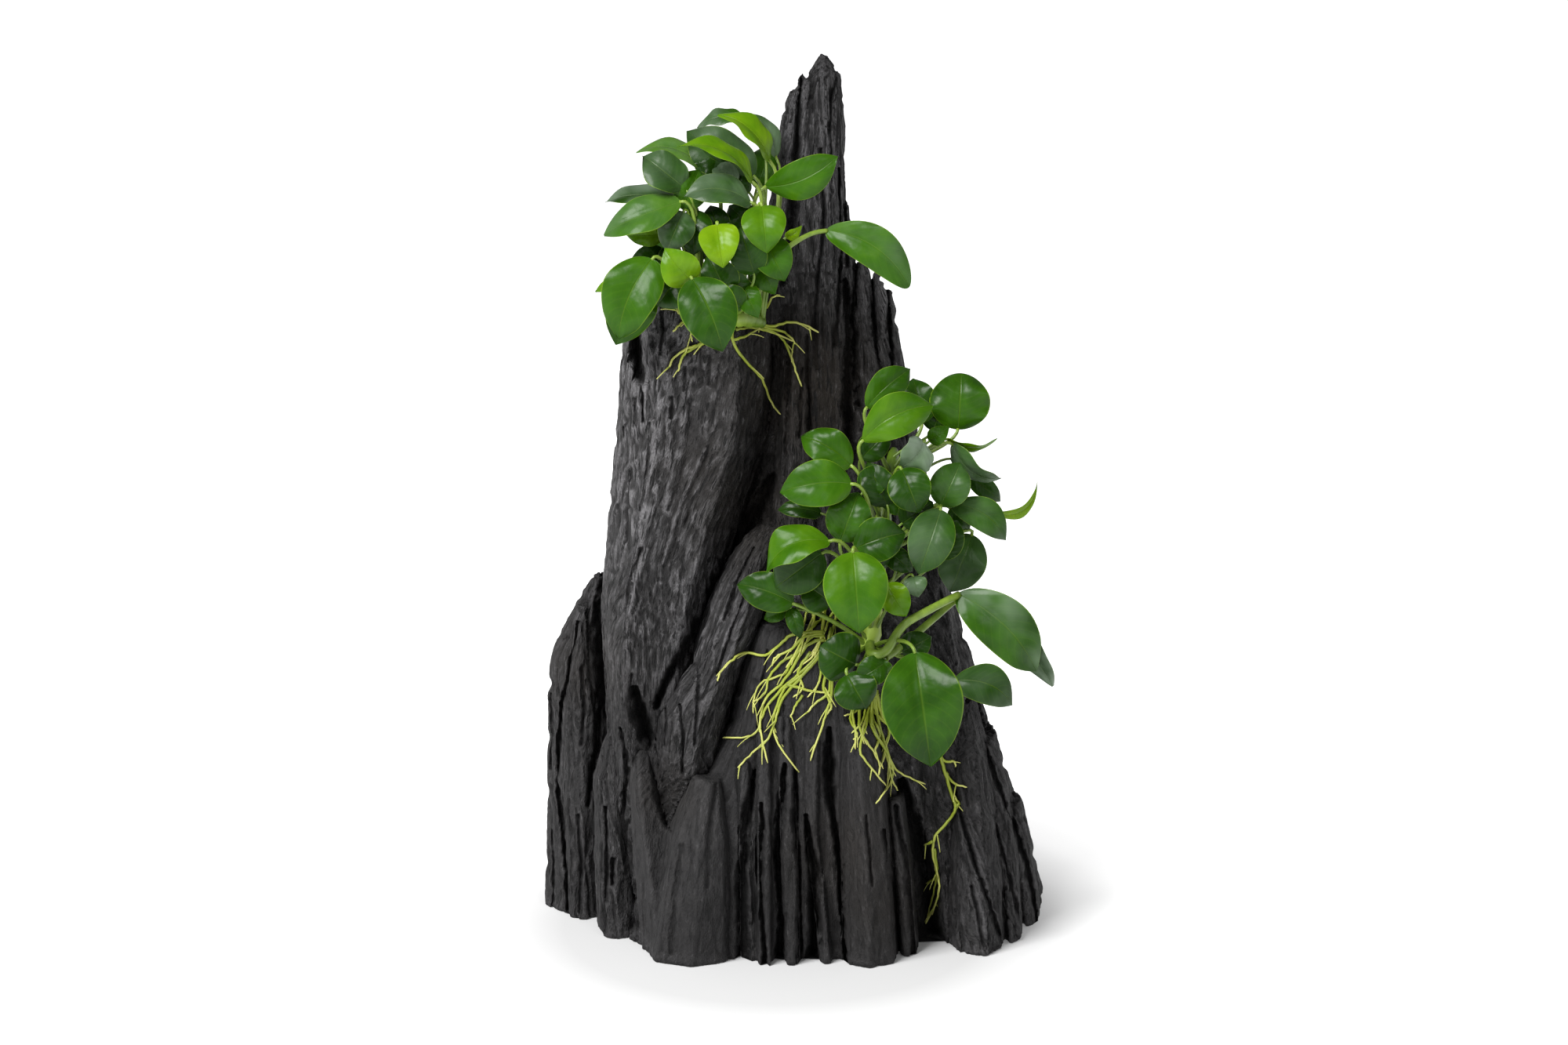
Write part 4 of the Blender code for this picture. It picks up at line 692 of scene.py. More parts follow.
def mesh_arrays(data):
    """Places of a mesh's vertices, and the pairs of vertices that its edges join."""
    points = np.zeros(len(data.vertices) * 3)
    data.vertices.foreach_get("co", points)
    edges = np.zeros(len(data.edges) * 2, dtype=np.int64)
    data.edges.foreach_get("vertices", edges)
    return points.reshape(-1, 3), edges.reshape(-1, 2)


def neighbour_mean(values, edges, count):
    """Mean of each vertex's neighbours, for one column of values or several."""
    ends = np.concatenate([edges[:, 0], edges[:, 1]])
    others = np.concatenate([edges[:, 1], edges[:, 0]])
    number = np.maximum(np.bincount(ends, minlength=count), 1)
    if values.ndim == 1:
        return np.bincount(ends, weights=values[others], minlength=count) / number
    return np.stack([
        np.bincount(ends, weights=values[others, axis], minlength=count) / number
        for axis in range(values.shape[1])], axis=1)


def relaxed(values, edges, rounds, share=0.6):
    """Values eased towards their neighbours' mean a number of times."""
    for _ in range(rounds):
        values = values * (1 - share) + neighbour_mean(values, edges, len(values)) * share
    return values


def vertex_normals(data):
    """Direction that the surface faces at each vertex."""
    normals = np.zeros(len(data.vertices) * 3)
    data.vertex_normals.foreach_get("vector", normals)
    return normals.reshape(-1, 3)


def set_points(data, points):
    """Move a mesh's vertices to these places."""
    data.vertices.foreach_set("co", points.astype(np.float32).ravel())
    data.update()


def baked(item):
    """Mesh that an object's modifiers make, with the modifiers taken off."""
    depsgraph = bpy.context.evaluated_depsgraph_get()
    depsgraph.update()
    result = bpy.data.meshes.new_from_object(item.evaluated_get(depsgraph))
    item.modifiers.clear()
    old = item.data
    item.data = result
    bpy.data.meshes.remove(old)
    return result


def even_depth(points, normals):
    """Depth with the flare of the front and of the back taken out, so that fibres run down the faces."""
    levels = np.linspace(points[:, 2].min(), points[:, 2].max(), DEPTH_LEVELS)
    slot = np.clip(np.searchsorted(levels, points[:, 2]), 0, DEPTH_LEVELS - 1)
    ends = []
    for side in (-1, 1):
        facing = normals[:, 1] * side > 0.4
        count = np.bincount(slot[facing], minlength=DEPTH_LEVELS)
        total = np.bincount(slot[facing], weights=points[facing, 1], minlength=DEPTH_LEVELS)
        known = count > 0
        ends.append(np.interp(points[:, 2], levels[known], total[known] / count[known]))
    front, back = ends
    share = (points[:, 1] - front) / np.maximum(back - front, LEAST_DEPTH)
    return front.mean() + share * (back.mean() - front.mean())


def grain_places(name, points, normals):
    """Across the fibres, through them and along them, in millimetres."""
    column, row = to_view(points)
    lines = np.stack([
        np.interp(row, [place[0] for place in line], [place[1] for place in line]) for line in GRAIN[name]])
    homes = [np.mean([place[1] for place in line]) for line in GRAIN[name]]
    across = np.zeros(len(points))
    for k in range(len(lines) - 1):
        span = np.maximum(lines[k + 1] - lines[k], 1.0)
        share = (column - lines[k]) / span
        low = -BEYOND_LINES if k == 0 else 0.0
        high = BEYOND_LINES if k == len(lines) - 2 else 1.0
        inside = (share >= low) & (share < high)
        across = np.where(inside, homes[k] + share * (homes[k + 1] - homes[k]), across)
    across = across * VIEW_STEP / MM
    sideways = np.clip((np.abs(normals[:, 0]) - SIDE_TURN) / SIDE_TURN_BLEND, 0.0, 1.0)
    edge = np.where(normals[:, 0] > 0, max(homes), min(homes)) * VIEW_STEP / MM
    strip = edge + np.round((across - edge) / SIDE_STRIP) * SIDE_STRIP
    across = across + (strip - across) * sideways
    depth = even_depth(points, normals)
    return np.stack([across, depth / MM, -points[:, 2] / MM], axis=1)


def cleft_depth(clefts, column, row):
    """How far clefts seen from the front cut into each vertex, in metres."""
    depth = np.zeros(len(column))
    spots = np.stack([column / CLEFT_BENDS[0], row / CLEFT_BENDS[1], np.zeros(len(column))], axis=1)
    wander = 0.55 * lattice_noise(spots, 21) + 0.35 * lattice_noise(spots * 2.6, 22)
    for deepest, places in clefts:
        ways = np.zeros(len(column))
        for (c1, r1, w1), (c2, r2, w2) in zip(places, places[1:]):
            widest = max(w1, w2)
            near = ((column > min(c1, c2) - widest) & (column < max(c1, c2) + widest)
                    & (row > min(r1, r2) - widest) & (row < max(r1, r2) + widest))
            where = np.nonzero(near)[0]
            if len(where) == 0:
                continue
            dc, dr = c2 - c1, r2 - r1
            along = ((column[where] - c1) * dc + (row[where] - r1) * dr) / (dc * dc + dr * dr)
            along = np.clip(along, 0.0, 1.0)
            away = np.hypot(column[where] - c1 - along * dc, row[where] - r1 - along * dr)
            width = w1 + (w2 - w1) * along
            away = away + wander[where] * np.minimum(width, 5.0)
            share = np.clip(1.0 - away / (width * CLEFT_SOFTNESS), 0.0, 1.0)
            ways[where] = np.maximum(ways[where], share * share * (3 - 2 * share))
        depth += ways * deepest * MM
    return depth


def fissure(field, width):
    """A narrow line along which a field crosses nought."""
    return np.exp(-(field / width) ** 2)


def wood_relief(places, points, grooved, fineness):
    """Push along the surface's own direction, in metres: fibres, ridges, fissures and pits.

    Each kind of mark has its width and length in millimetres, and a seed of its own.
    """
    across, through, along = places.T

    def stretched(wide, long, seed):
        return lattice_noise(np.stack([across / wide, through / wide, along / long], axis=1), seed)

    across = across + 1.8 * stretched(24, 60, 1)
    slabs = stretched(15, 170, 2)
    ridges = 0.5 - np.abs(stretched(8.5, 130, 3))
    cords = 0.5 - np.abs(stretched(4.4, 70, 4))
    fibres = stretched(2.0, 13, 5)
    flakes = np.clip(stretched(3.0, 9, 11), -0.25, 0.25)
    patch = 0.5 + 0.5 * lattice_noise(points / (26 * MM), 6)
    deep = fissure(stretched(12, 110, 7), 0.055) * np.clip(patch * 1.8 - 0.3, 0, 1)
    fine = fissure(stretched(4.6, 22, 8), 0.07) * np.clip(1.5 - patch * 1.6, 0, 1)
    knobs = lattice_noise(places / np.array([2.6, 2.6, 4.2]), 9)
    pits = np.clip(lattice_noise(places / np.array([2.6, 2.6, 7.0]), 10) - 0.44, 0, 1)
    push = grooved * (0.7 * slabs + 0.9 * ridges + 0.45 * cords - 1.6 * deep)
    push += fineness * (0.34 * fibres + 0.30 * knobs + 1.3 * flakes - 0.7 * fine - 3.0 * pits)
    return push * MM


def shape_wood(name, node, collection):
    """One piece of driftwood with its relief, from the solid that it stands for."""
    voxel, most_triangles, strength, fineness = WOOD[name]
    item = bpy.data.objects.new(name.replace("driftwood", "wood"), node.data.copy())
    collection.objects.link(item)
    step = item.modifiers.new("fine mesh", "REMESH")
    step.mode = "VOXEL"
    step.voxel_size = voxel * MM
    data = baked(item)
    points, edges = mesh_arrays(data)
    grounded = points[:, 2] < FLAT_BASE
    crisp = relaxed(points, edges, CRISP_ROUNDS)
    share = np.clip((points[:, 2] - CRISP_ABOVE) / CRISP_BLEND, 0.0, 1.0)[:, None]
    points = crisp * share + relaxed(crisp, edges, RELAX_ROUNDS - CRISP_ROUNDS) * (1 - share)
    set_points(data, points)
    normals = vertex_normals(data)
    level = np.where(grounded[:, None], normals * np.array([1.0, 1.0, 0.0]), normals)
    places = grain_places(name, points, relaxed(normals, edges, NORMAL_ROUNDS))
    calm = 1 - SPIRE_CALM * share[:, 0]
    column, row = to_view(points)
    grooved = np.full(len(points), strength)
    if name == "driftwood_trunk":
        edge = np.interp(row, [place[0] for place in LOBE_EDGE], [place[1] for place in LOBE_EDGE])
        inside = np.clip((edge - column) / LOBE_BLEND, 0.0, 1.0)
        on_lobe = inside * np.clip((row - LOBE_TOP_ROW) / LOBE_BLEND, 0.0, 1.0)
        grooved = 1.0 - (1.0 - LOBE_GROOVES) * on_lobe * (points[:, 1] < 0.0)
    push = wood_relief(places, points, grooved, fineness) * calm + SWELL * calm
    for at_column, at_row, radius, deepest in NICKS.get(name, []):
        away = np.hypot(column - at_column, row - at_row) / radius
        push -= deepest * MM * np.exp(-away ** 2 * NICK_SHARPNESS)
    shaped = points + level * push[:, None]
    if name not in SMOOTH_TOPPED:
        upward = np.clip((normals[:, 2] - RAGGED_FROM) * 2.0, 0.0, 1.0)
        teeth = np.abs(lattice_noise(points / (7 * MM), 12))
        teeth += 0.5 * np.abs(lattice_noise(points / (3 * MM), 13))
        shaped[:, 2] -= upward * teeth * RAGGED_TOPS * MM
    facing = np.clip(-(normals @ np.array(VIEW_FORWARD)) * 2.5, 0.0, 1.0)
    facing = relaxed(facing, edges, CLEFT_EDGE_ROUNDS)
    depth = cleft_depth(CLEFTS.get(name, []), column, row) * facing
    shaped += np.array(VIEW_FORWARD) * depth[:, None] * np.array(CLEFT_WAY)
    shaped[grounded, 2] = 0.0
    shaped[:, 2] = np.maximum(shaped[:, 2], 0.0)
    set_points(data, shaped)
    triangles = len(data.polygons) * 2
    if triangles > most_triangles:
        step = item.modifiers.new("fewer faces", "DECIMATE")
        step.ratio = most_triangles / triangles
        data = baked(item)
    colour_wood(name, data)
    data.polygons.foreach_set("use_smooth", np.ones(len(data.polygons), dtype=bool))
    return item


def colour_wood(name, data):
    """Store what the wood's colour follows: fibre places, height against the surroundings for a painted
    highlight on ridges and painted shade in hollows, brownness, painted shade and light of single places, and
    fineness.
    """
    points, edges = mesh_arrays(data)
    normals = vertex_normals(data)
    places = grain_places(name, points, relaxed(normals, edges, NORMAL_ROUNDS))
    smooth = relaxed(points, edges, CAVITY_ROUNDS)
    smoother = relaxed(smooth, edges, WIDE_CAVITY_ROUNDS)
    # Painted highlight on ridges and painted shade in hollows: height against two smoother forms of the
    # surface
    narrow = np.sum((points - smooth) * normals, axis=1) / NARROW_HOLLOW
    wide = np.sum((points - smoother) * normals, axis=1) / WIDE_HOLLOW
    relief = 0.5 + PAINTED_HOLLOW_SHADE_SHARE * (narrow + wide)
    column, row = to_view(points)
    ridges = [(deepest, way) for deepest, way in CLEFTS.get(name, []) if deepest < 0]
    relief = np.clip(relief - RIDGE_PALENESS * cleft_depth(ridges, column, row) / MM, 0.0, 1.0)
    brown = np.zeros(len(points))
    for at_column, at_row, radius, strength in BROWN_PLACES:
        away = np.hypot(column - at_column, row - at_row) / radius
        brown = np.maximum(brown, strength * np.exp(-away * away))
    store(data, "fibre", "FLOAT_VECTOR", places)
    store(data, "relief", "FLOAT", relief)
    # Painted shade in recesses and low parts, and painted light on lit faces where the strength is below 0
    dark = np.zeros(len(points))
    for at_column, at_row, across, down, strength in PAINTED_SHADE_AND_LIGHT_PLACES:
        away = ((column - at_column) / across) ** 2 + ((row - at_row) / down) ** 2
        dark += strength * np.exp(-away)
    store(data, "brown", "FLOAT", brown)
    store(data, "dark", "FLOAT", dark)
    high = np.clip((points[:, 2] - CRISP_ABOVE) / CRISP_BLEND, 0.0, 1.0)
    store(data, "fineness", "FLOAT", WOOD[name][3] * (1.0 + SPIRE_ROUGHER * high))


def store(data, name, kind, values):
    """Keep a value or a vector for each vertex, for the materials to read."""
    layer = data.attributes.new(name, kind, "POINT")
    field = "vector" if kind == "FLOAT_VECTOR" else "value"
    layer.data.foreach_set(field, values.astype(np.float32).ravel())


def search_tree(items):
    """Search tree over the faces of several meshes."""
    points = []
    faces = []
    for data in items:
        start = len(points)
        points.extend(vertex.co.copy() for vertex in data.vertices)
        faces.extend([start + index for index in face.vertices] for face in data.polygons)
    return BVHTree.FromPolygons(points, faces)


def blade_half_width(along):
    """Outline of an egg-shaped blade, widest two fifths of the way to its tip."""
    return math.sin(math.pi * along ** OUTLINE_SKEW) ** SOLID_OUTLINE_POWER


def blade_frame(leaf):
    """Base, tip, side direction and facing direction of a blade."""
    base = from_view(leaf[0], leaf[1], leaf[2] * MM)
    tip = from_view(leaf[3], leaf[4], leaf[5] * MM)
    axis = (tip - base).normalized()
    to_eye = -VIEW_FORWARD
    facing = (to_eye - axis * to_eye.dot(axis)).normalized()
    facing = Matrix.Rotation(math.radians(leaf[LEAF_ROLL]), 3, axis) @ facing
    return base, tip, axis.cross(facing), facing


def solid_blade_box(leaf):
    """Middle of the box around the plain blade that the solid was made from."""
    base, tip, side, facing = blade_frame(leaf)
    corners = []
    for along in BLADE_STATIONS:
        middle = base.lerp(tip, along) + facing * (leaf[LEAF_ARCH] * MM * 4 * along * (1 - along))
        least_half = STALK_HALF_WIDTH * (1 - STALK_HALF_LOSS * along)
        half = max(leaf[LEAF_WIDTH] * VIEW_STEP / 2 * blade_half_width(along), least_half)
        thick = BLADE_THICKNESS * (1 - along) + BLADE_END_THICKNESS * along
        lift = facing * (half * FOLD_RISE)
        corners += [middle + side * half + lift, middle - side * half + lift]
        corners += [middle + facing * thick / 2, middle - facing * thick / 2]
    low = Vector([min(corner[k] for corner in corners) for k in range(3)])
    high = Vector([max(corner[k] for corner in corners) for k in range(3)])
    return (low + high) / 2


def blade_shift(leaf, node_name):
    """How far towards the eye the solid blade was moved to stand clear."""
    low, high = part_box(node_name)
    moved = (low + high) / 2 - solid_blade_box(leaf)
    return VIEW_FORWARD * moved.dot(VIEW_FORWARD)


def blade_mesh(name, leaf, shift):
    """A folded, gently waved blade with a thin edge, from its stalk to its tip."""
    draw = random.Random("blade " + name)
    base, tip, side, facing = blade_frame(leaf)
    skew, bluntness, bow, wider = HABITS.get(name, USUAL_HABIT)
    width = leaf[LEAF_WIDTH] * VIEW_STEP * wider
    arch = leaf[LEAF_ARCH] * MM
    tone = leaf[LEAF_TONE]
    fold = draw.uniform(*FOLDS)
    crown = draw.uniform(*CROWNS)
    wave = draw.uniform(*WAVES) * width
    wave_count = draw.uniform(*WAVE_COUNTS)
    phase = draw.uniform(0.0, 2 * math.pi)
    twist = math.radians(draw.uniform(*TWISTS))
    droop = draw.uniform(*DROOPS) * MM
    tip_point = 0.0 if name in ROUND_TIPPED else TIP_POINT
    axis = (tip - base).normalized()
    tops = []
    bottoms = []
    marks = []
    for number in range(BLADE_ROWS + 1):
        along = (1 - math.cos(math.pi * number / BLADE_ROWS)) / 2
        pointed = min(max((along - TIP_START) / (1.0 - TIP_START), 0.0), 1.0) * tip_point
        outline = max(math.sin(math.pi * along ** skew), 0.0) ** (bluntness + (1.0 - bluntness) * pointed)
        half = max(width / 2 * outline, LEAST_HALF_WIDTH)
        rounding = 4 * along * (1 - along)
        middle = base.lerp(tip, along) + facing * (arch * rounding) + side * (bow * MM * rounding) + shift
        middle = middle - facing * (droop * max(along - DROOP_START, 0.0) ** 2)
        turn = Matrix.Rotation(twist * (along - UNTWISTED_AT), 3, axis)
        row_side = turn @ side
        row_facing = turn @ facing
        for k in range(BLADE_COLUMNS + 1):
            across = math.sin(math.pi * (k / BLADE_COLUMNS - 0.5))
            spread = abs(across)
            rise = half * (fold * spread - crown * spread ** 2)
            swing = 2 * math.pi * wave_count * along + phase + (across > 0) * MARGIN_STEP
            rise += wave * spread ** 3 * math.sin(swing)
            rise *= min(1.0, along * 9)
            place = middle + row_side * (half * across) + row_facing * rise
            skin = BLADE_SKIN * (1 - 0.85 * spread ** 6) * (1 - 0.8 * along ** 4)
            tops.append(place)
            bottoms.append(place - row_facing * skin)
            marks.append((along, across, tone))
    columns = BLADE_COLUMNS + 1
    count = len(tops)
    faces = []
    for number in range(BLADE_ROWS):
        for k in range(BLADE_COLUMNS):
            a = number * columns + k
            faces.append((a, a + 1, a + columns + 1, a + columns))
            faces.append((count + a, count + a + columns, count + a + columns + 1, count + a + 1))
        left = number * columns
        right = left + BLADE_COLUMNS
        faces.append((left, left + columns, count + left + columns, count + left))
        faces.append((right, count + right, count + right + columns, right + columns))
    last = BLADE_ROWS * columns
    for k in range(BLADE_COLUMNS):
        faces.append((k, count + k, count + k + 1, k + 1))
        faces.append((last + k, last + k + 1, count + last + k + 1, count + last + k))
    data = bpy.data.meshes.new(name)
    data.from_pydata([tuple(p) for p in tops + bottoms], [], faces)
    data.update()
    if sum(face.normal.dot(facing) for face in list(data.polygons)[:BLADE_COLUMNS * 4:2]) < 0:
        data.flip_normals()
    store(data, "blade", "FLOAT_VECTOR", np.array(marks + marks))
    # Painted sheen: how much grey stands in for reflections across each blade
    amount, side_lean = PAINTED_SHEEN_LEAVES.get(name, (0.0, 0.0))
    middle_grey = 0.5 + 0.5 * (1 - abs(side_lean))
    grey = [amount * min(max(middle_grey + side_lean * across, 0.0), 1.0) for _, across, _ in marks]
    store(data, "grey", "FLOAT", np.array(grey + grey))
    data.polygons.foreach_set("use_smooth", np.ones(len(data.polygons), dtype=bool))
    return data


def smooth_way(points, steps):
    """Rounded way through the points, as a list of evenly spaced ones on each span."""
    way = []
    count = len(points)
    for k in range(count - 1):
        before = points[max(k - 1, 0)]
        here, there = points[k], points[k + 1]
        after = points[min(k + 2, count - 1)]
        for step in range(steps):
            t = step / steps
            way.append(0.5 * (
                2 * here + (there - before) * t + (2 * before - 5 * here + 4 * there - after) * t ** 2
                + (3 * here - before - 3 * there + after) * t ** 3))
    way.append(points[-1])
    return way


def tube_parts(way, radii, sides, tone_start, tone_end):
    """Points, faces and tones of a round stem along a way, with closed ends."""
    points = []
    faces = []
    tones = []
    across = Vector((1.0, 0.0, 0.0))
    count = len(way)
    for k, (place, radius) in enumerate(zip(way, radii)):
        along = (way[min(k + 1, count - 1)] - way[max(k - 1, 0)]).normalized()
        across = across - along * across.dot(along)
        if across.length < 0.001:
            across = along.orthogonal()
        across.normalize()
        third = along.cross(across)
        for side in range(sides):
            turn = 2 * math.pi * side / sides
            points.append(place + (across * math.cos(turn) + third * math.sin(turn)) * radius)
            tones.append(tone_start + (tone_end - tone_start) * k / (count - 1))
    for k in range(count - 1):
        for side in range(sides):
            following = (side + 1) % sides
            a, b = k * sides + side, k * sides + following
            faces.append((a, b, b + sides, a + sides))
    faces.append(tuple(reversed(range(sides))))
    faces.append(tuple((count - 1) * sides + side for side in range(sides)))
    return points, faces, tones


def joined_tubes(name, tubes, collection):
    """One piece of many tubes, with their tones kept for its material."""
    points = []
    faces = []
    tones = []
    for tube_points, tube_faces, tube_tones in tubes:
        start = len(points)
        points += tube_points
        tones += tube_tones
        faces += [tuple(start + index for index in face) for face in tube_faces]
    data = bpy.data.meshes.new(name)
    data.from_pydata([tuple(p) for p in points], [], faces)
    data.update()
    store(data, "tone", "FLOAT", np.array(tones))
    data.polygons.foreach_set("use_smooth", np.ones(len(data.polygons), dtype=bool))
    item = bpy.data.objects.new(name, data)
    collection.objects.link(item)
    return item


def reach_of_wood(column, row, tree):
    """Distance from the eye to the wood at this column and row, or None."""
    aim = (from_view(column, row, 0.0) - VIEW_EYE).normalized()
    return tree.ray_cast(VIEW_EYE, aim)[3]


def lay_on_wood(columns_rows, tree, lift, probe):
    """Points in front of the wood, bridging clefts narrower than the probe, lifted towards the eye."""
    points = []
    last = VIEW_DISTANCE
    for column, row in columns_rows:
        tries = ((0, 0), (-probe, 0), (probe, 0), (0, -probe), (0, probe))
        reaches = [reach_of_wood(column + right, row + down, tree) for right, down in tries]
        last = min([reach for reach in reaches if reach is not None], default=last)
        aim = (from_view(column, row, 0.0) - VIEW_EYE).normalized()
        points.append(VIEW_EYE + aim * (last - lift))
    return points


def rhizome_way(rhizome, tree):
    """The creeping stem raised off the wood until it is clear, with its radii."""
    radii = [radius * MM for _, _, radius in rhizome]
    places = [(column, row) for column, row, _ in rhizome]
    lift = max(radii)
    for _ in range(LIFT_TRIES):
        points = lay_on_wood(places, tree, lift, RHIZOME_PROBE)
        if all(tree.find_nearest(point)[3] > radius for point, radius in zip(points, radii)):
            break
        lift += LIFT_STEP
    return points, radii


def root_tubes(chains, tree, seed):
    """Roots that follow the wood, thicker where they start, with fine side roots."""
    draw = random.Random(seed)
    tubes = []
    for chain in chains:
        flat = [Vector((column, row, 0.0)) for column, row in chain]
        way = smooth_way(flat, 5)
        way = [place + Vector((draw.uniform(*ROOT_WANDER), draw.uniform(*ROOT_WANDER), 0)) for place in way]
        places = lay_on_wood([(place.x, place.y) for place in way], tree, ROOT_RADIUS * 0.9, ROOT_PROBE)
        reaches = [(place - VIEW_EYE).length for place in places]
        for _ in range(2):
            eased = [
                min(reaches[k], sum(reaches[max(k - 1, 0):k + 2]) / len(reaches[max(k - 1, 0):k + 2]))
                for k in range(len(reaches))]
            reaches = eased
        places = [
            VIEW_EYE + (place - VIEW_EYE).normalized() * reach for place, reach in zip(places, reaches)]
        count = len(places)
        size = ROOT_RADIUS * draw.uniform(0.85, 1.1)
        radii = [size * (1.1 - 0.55 * k / (count - 1)) for k in range(count)]
        radii[-1] *= 0.55
        tubes.append(tube_parts(places, radii, 8, 0.15, 1.0))
        for _ in range(max(1, count // PLACES_TO_SIDE_ROOT)):
            start = draw.randrange(count // 4, count - 1)
            turn = draw.uniform(-0.9, 0.9)
            heading = (places[start + 1] - places[start]).normalized()
            heading = (heading + Vector((turn, -0.25, -0.25))).normalized()
            length = draw.uniform(*SIDE_ROOT_LENGTHS) * MM
            bend = Vector((draw.uniform(-0.3, 0.3), 0.1, -0.5))
            side_way = []
            for k in range(SIDE_ROOT_STEPS + 1):
                along = k / SIDE_ROOT_STEPS
                sag = bend * (length * along ** 2 * 0.4)
                side_way.append(places[start] + heading * (length * along) + sag)
            sizes = [size * (0.5 - 0.06 * k) for k in range(SIDE_ROOT_STEPS + 1)]
            tubes.append(tube_parts(side_way, sizes, 6, 0.6, 1.0))
    return tubes


def stalk_places(name, leaf, shift, stem_points, draw):
    """Way of a leaf's stalk, from the nearest place on the stem to the base of the blade."""
    base, tip, _, _ = blade_frame(leaf)
    axis = (tip - base).normalized()
    end = base + shift + axis * STALK_INTO_BLADE
    if name in STALK_WAYS:
        way = [from_view(column, row, depth * MM) for column, row, depth in STALK_WAYS[name]]
        start = min(stem_points, key=lambda point: (point - way[0]).length)
        return smooth_way([start] + way + [end], 4)
    below = base + shift - Vector((0.0, 0.0, STALK_DROP))
    start = min(stem_points, key=lambda point: (point - below).length)
    start = start + Vector([draw.uniform(-1.0, 1.0) * MM for _ in range(3)])
    reach = (end - start).length
    heading = Vector(STALK_START_WAY).normalized()
    first = start + (end - start) * STALK_BEND + heading * (reach * STALK_START_SHARE)
    second = end - axis * (reach * STALK_BEND) + VIEW_FORWARD * STALK_BACK
    points = []
    for number in range(STALK_STEPS + 1):
        t = number / STALK_STEPS
        points.append(
            start * (1 - t) ** 3 + first * 3 * t * (1 - t) ** 2
            + second * 3 * t ** 2 * (1 - t) + end * t ** 3)
    return points


def shader_of(made):
    """A material's shader and its node tree."""
    made.use_nodes = True
    return made.node_tree.nodes["Principled BSDF"], made.node_tree


def ramp(tree, stops, factor):
    """Colour by place on a ramp of (place, colour) stops."""
    node = tree.nodes.new("ShaderNodeValToRGB")
    while len(node.color_ramp.elements) < len(stops):
        node.color_ramp.elements.new(0.5)
    for element, (place, colour) in zip(node.color_ramp.elements, stops):
        element.position = place
        element.color = (*colour, 1.0)
    tree.links.new(factor, node.inputs["Fac"])
    return node.outputs["Color"]


def attribute(tree, name, output):
    """A value or a vector that the mesh keeps for each vertex."""
    node = tree.nodes.new("ShaderNodeAttribute")
    node.attribute_name = name
    return node.outputs[output]


def maths(tree, operation, first, second=None, clamp=False):
    """Result of one sum on two sockets or numbers, kept from 0 to 1 if asked."""
    node = tree.nodes.new("ShaderNodeMath")
    node.operation = operation
    node.use_clamp = clamp
    for socket, value in zip(node.inputs, (first, second)):
        if value is None:
            continue
        if isinstance(value, (int, float)):
            socket.default_value = value
        else:
            tree.links.new(value, socket)
    return node.outputs[0]


def plus(tree, first, second):
    return maths(tree, "ADD", first, second)


def minus(tree, first, second):
    return maths(tree, "SUBTRACT", first, second)


def times(tree, first, second):
    return maths(tree, "MULTIPLY", first, second)


def above(tree, value, limit, gain):
    """How far a value is past a limit, kept from 0 to 1."""
    return maths(tree, "MULTIPLY", minus(tree, value, limit), gain, clamp=True)


def mixed(tree, factor, first, second):
    """Mix of two colours."""
    node = tree.nodes.new("ShaderNodeMix")
    node.data_type = "RGBA"
    for socket, value in ((node.inputs[0], factor), (node.inputs[6], first), (node.inputs[7], second)):
        if isinstance(value, (int, float)):
            socket.default_value = value
        elif isinstance(value, tuple):
            socket.default_value = (*value, 1.0)
        else:
            tree.links.new(value, socket)
    return node.outputs[2]


def noise(tree, vector, scale, stretch, detail):
    """Soft random field, squeezed by the stretch along each direction."""
    turn = tree.nodes.new("ShaderNodeMapping")
    turn.inputs["Scale"].default_value = stretch
    tree.links.new(vector, turn.inputs["Vector"])
    node = tree.nodes.new("ShaderNodeTexNoise")
    node.inputs["Scale"].default_value = scale
    node.inputs["Detail"].default_value = detail
    tree.links.new(turn.outputs["Vector"], node.inputs["Vector"])
    return node.outputs["Fac"]


def bump(tree, shader, height, strength, distance):
    """Fine relief of a material, this many metres high."""
    node = tree.nodes.new("ShaderNodeBump")
    node.inputs["Strength"].default_value = strength
    node.inputs["Distance"].default_value = distance
    tree.links.new(height, node.inputs["Height"])
    tree.links.new(node.outputs["Normal"], shader.inputs["Normal"])


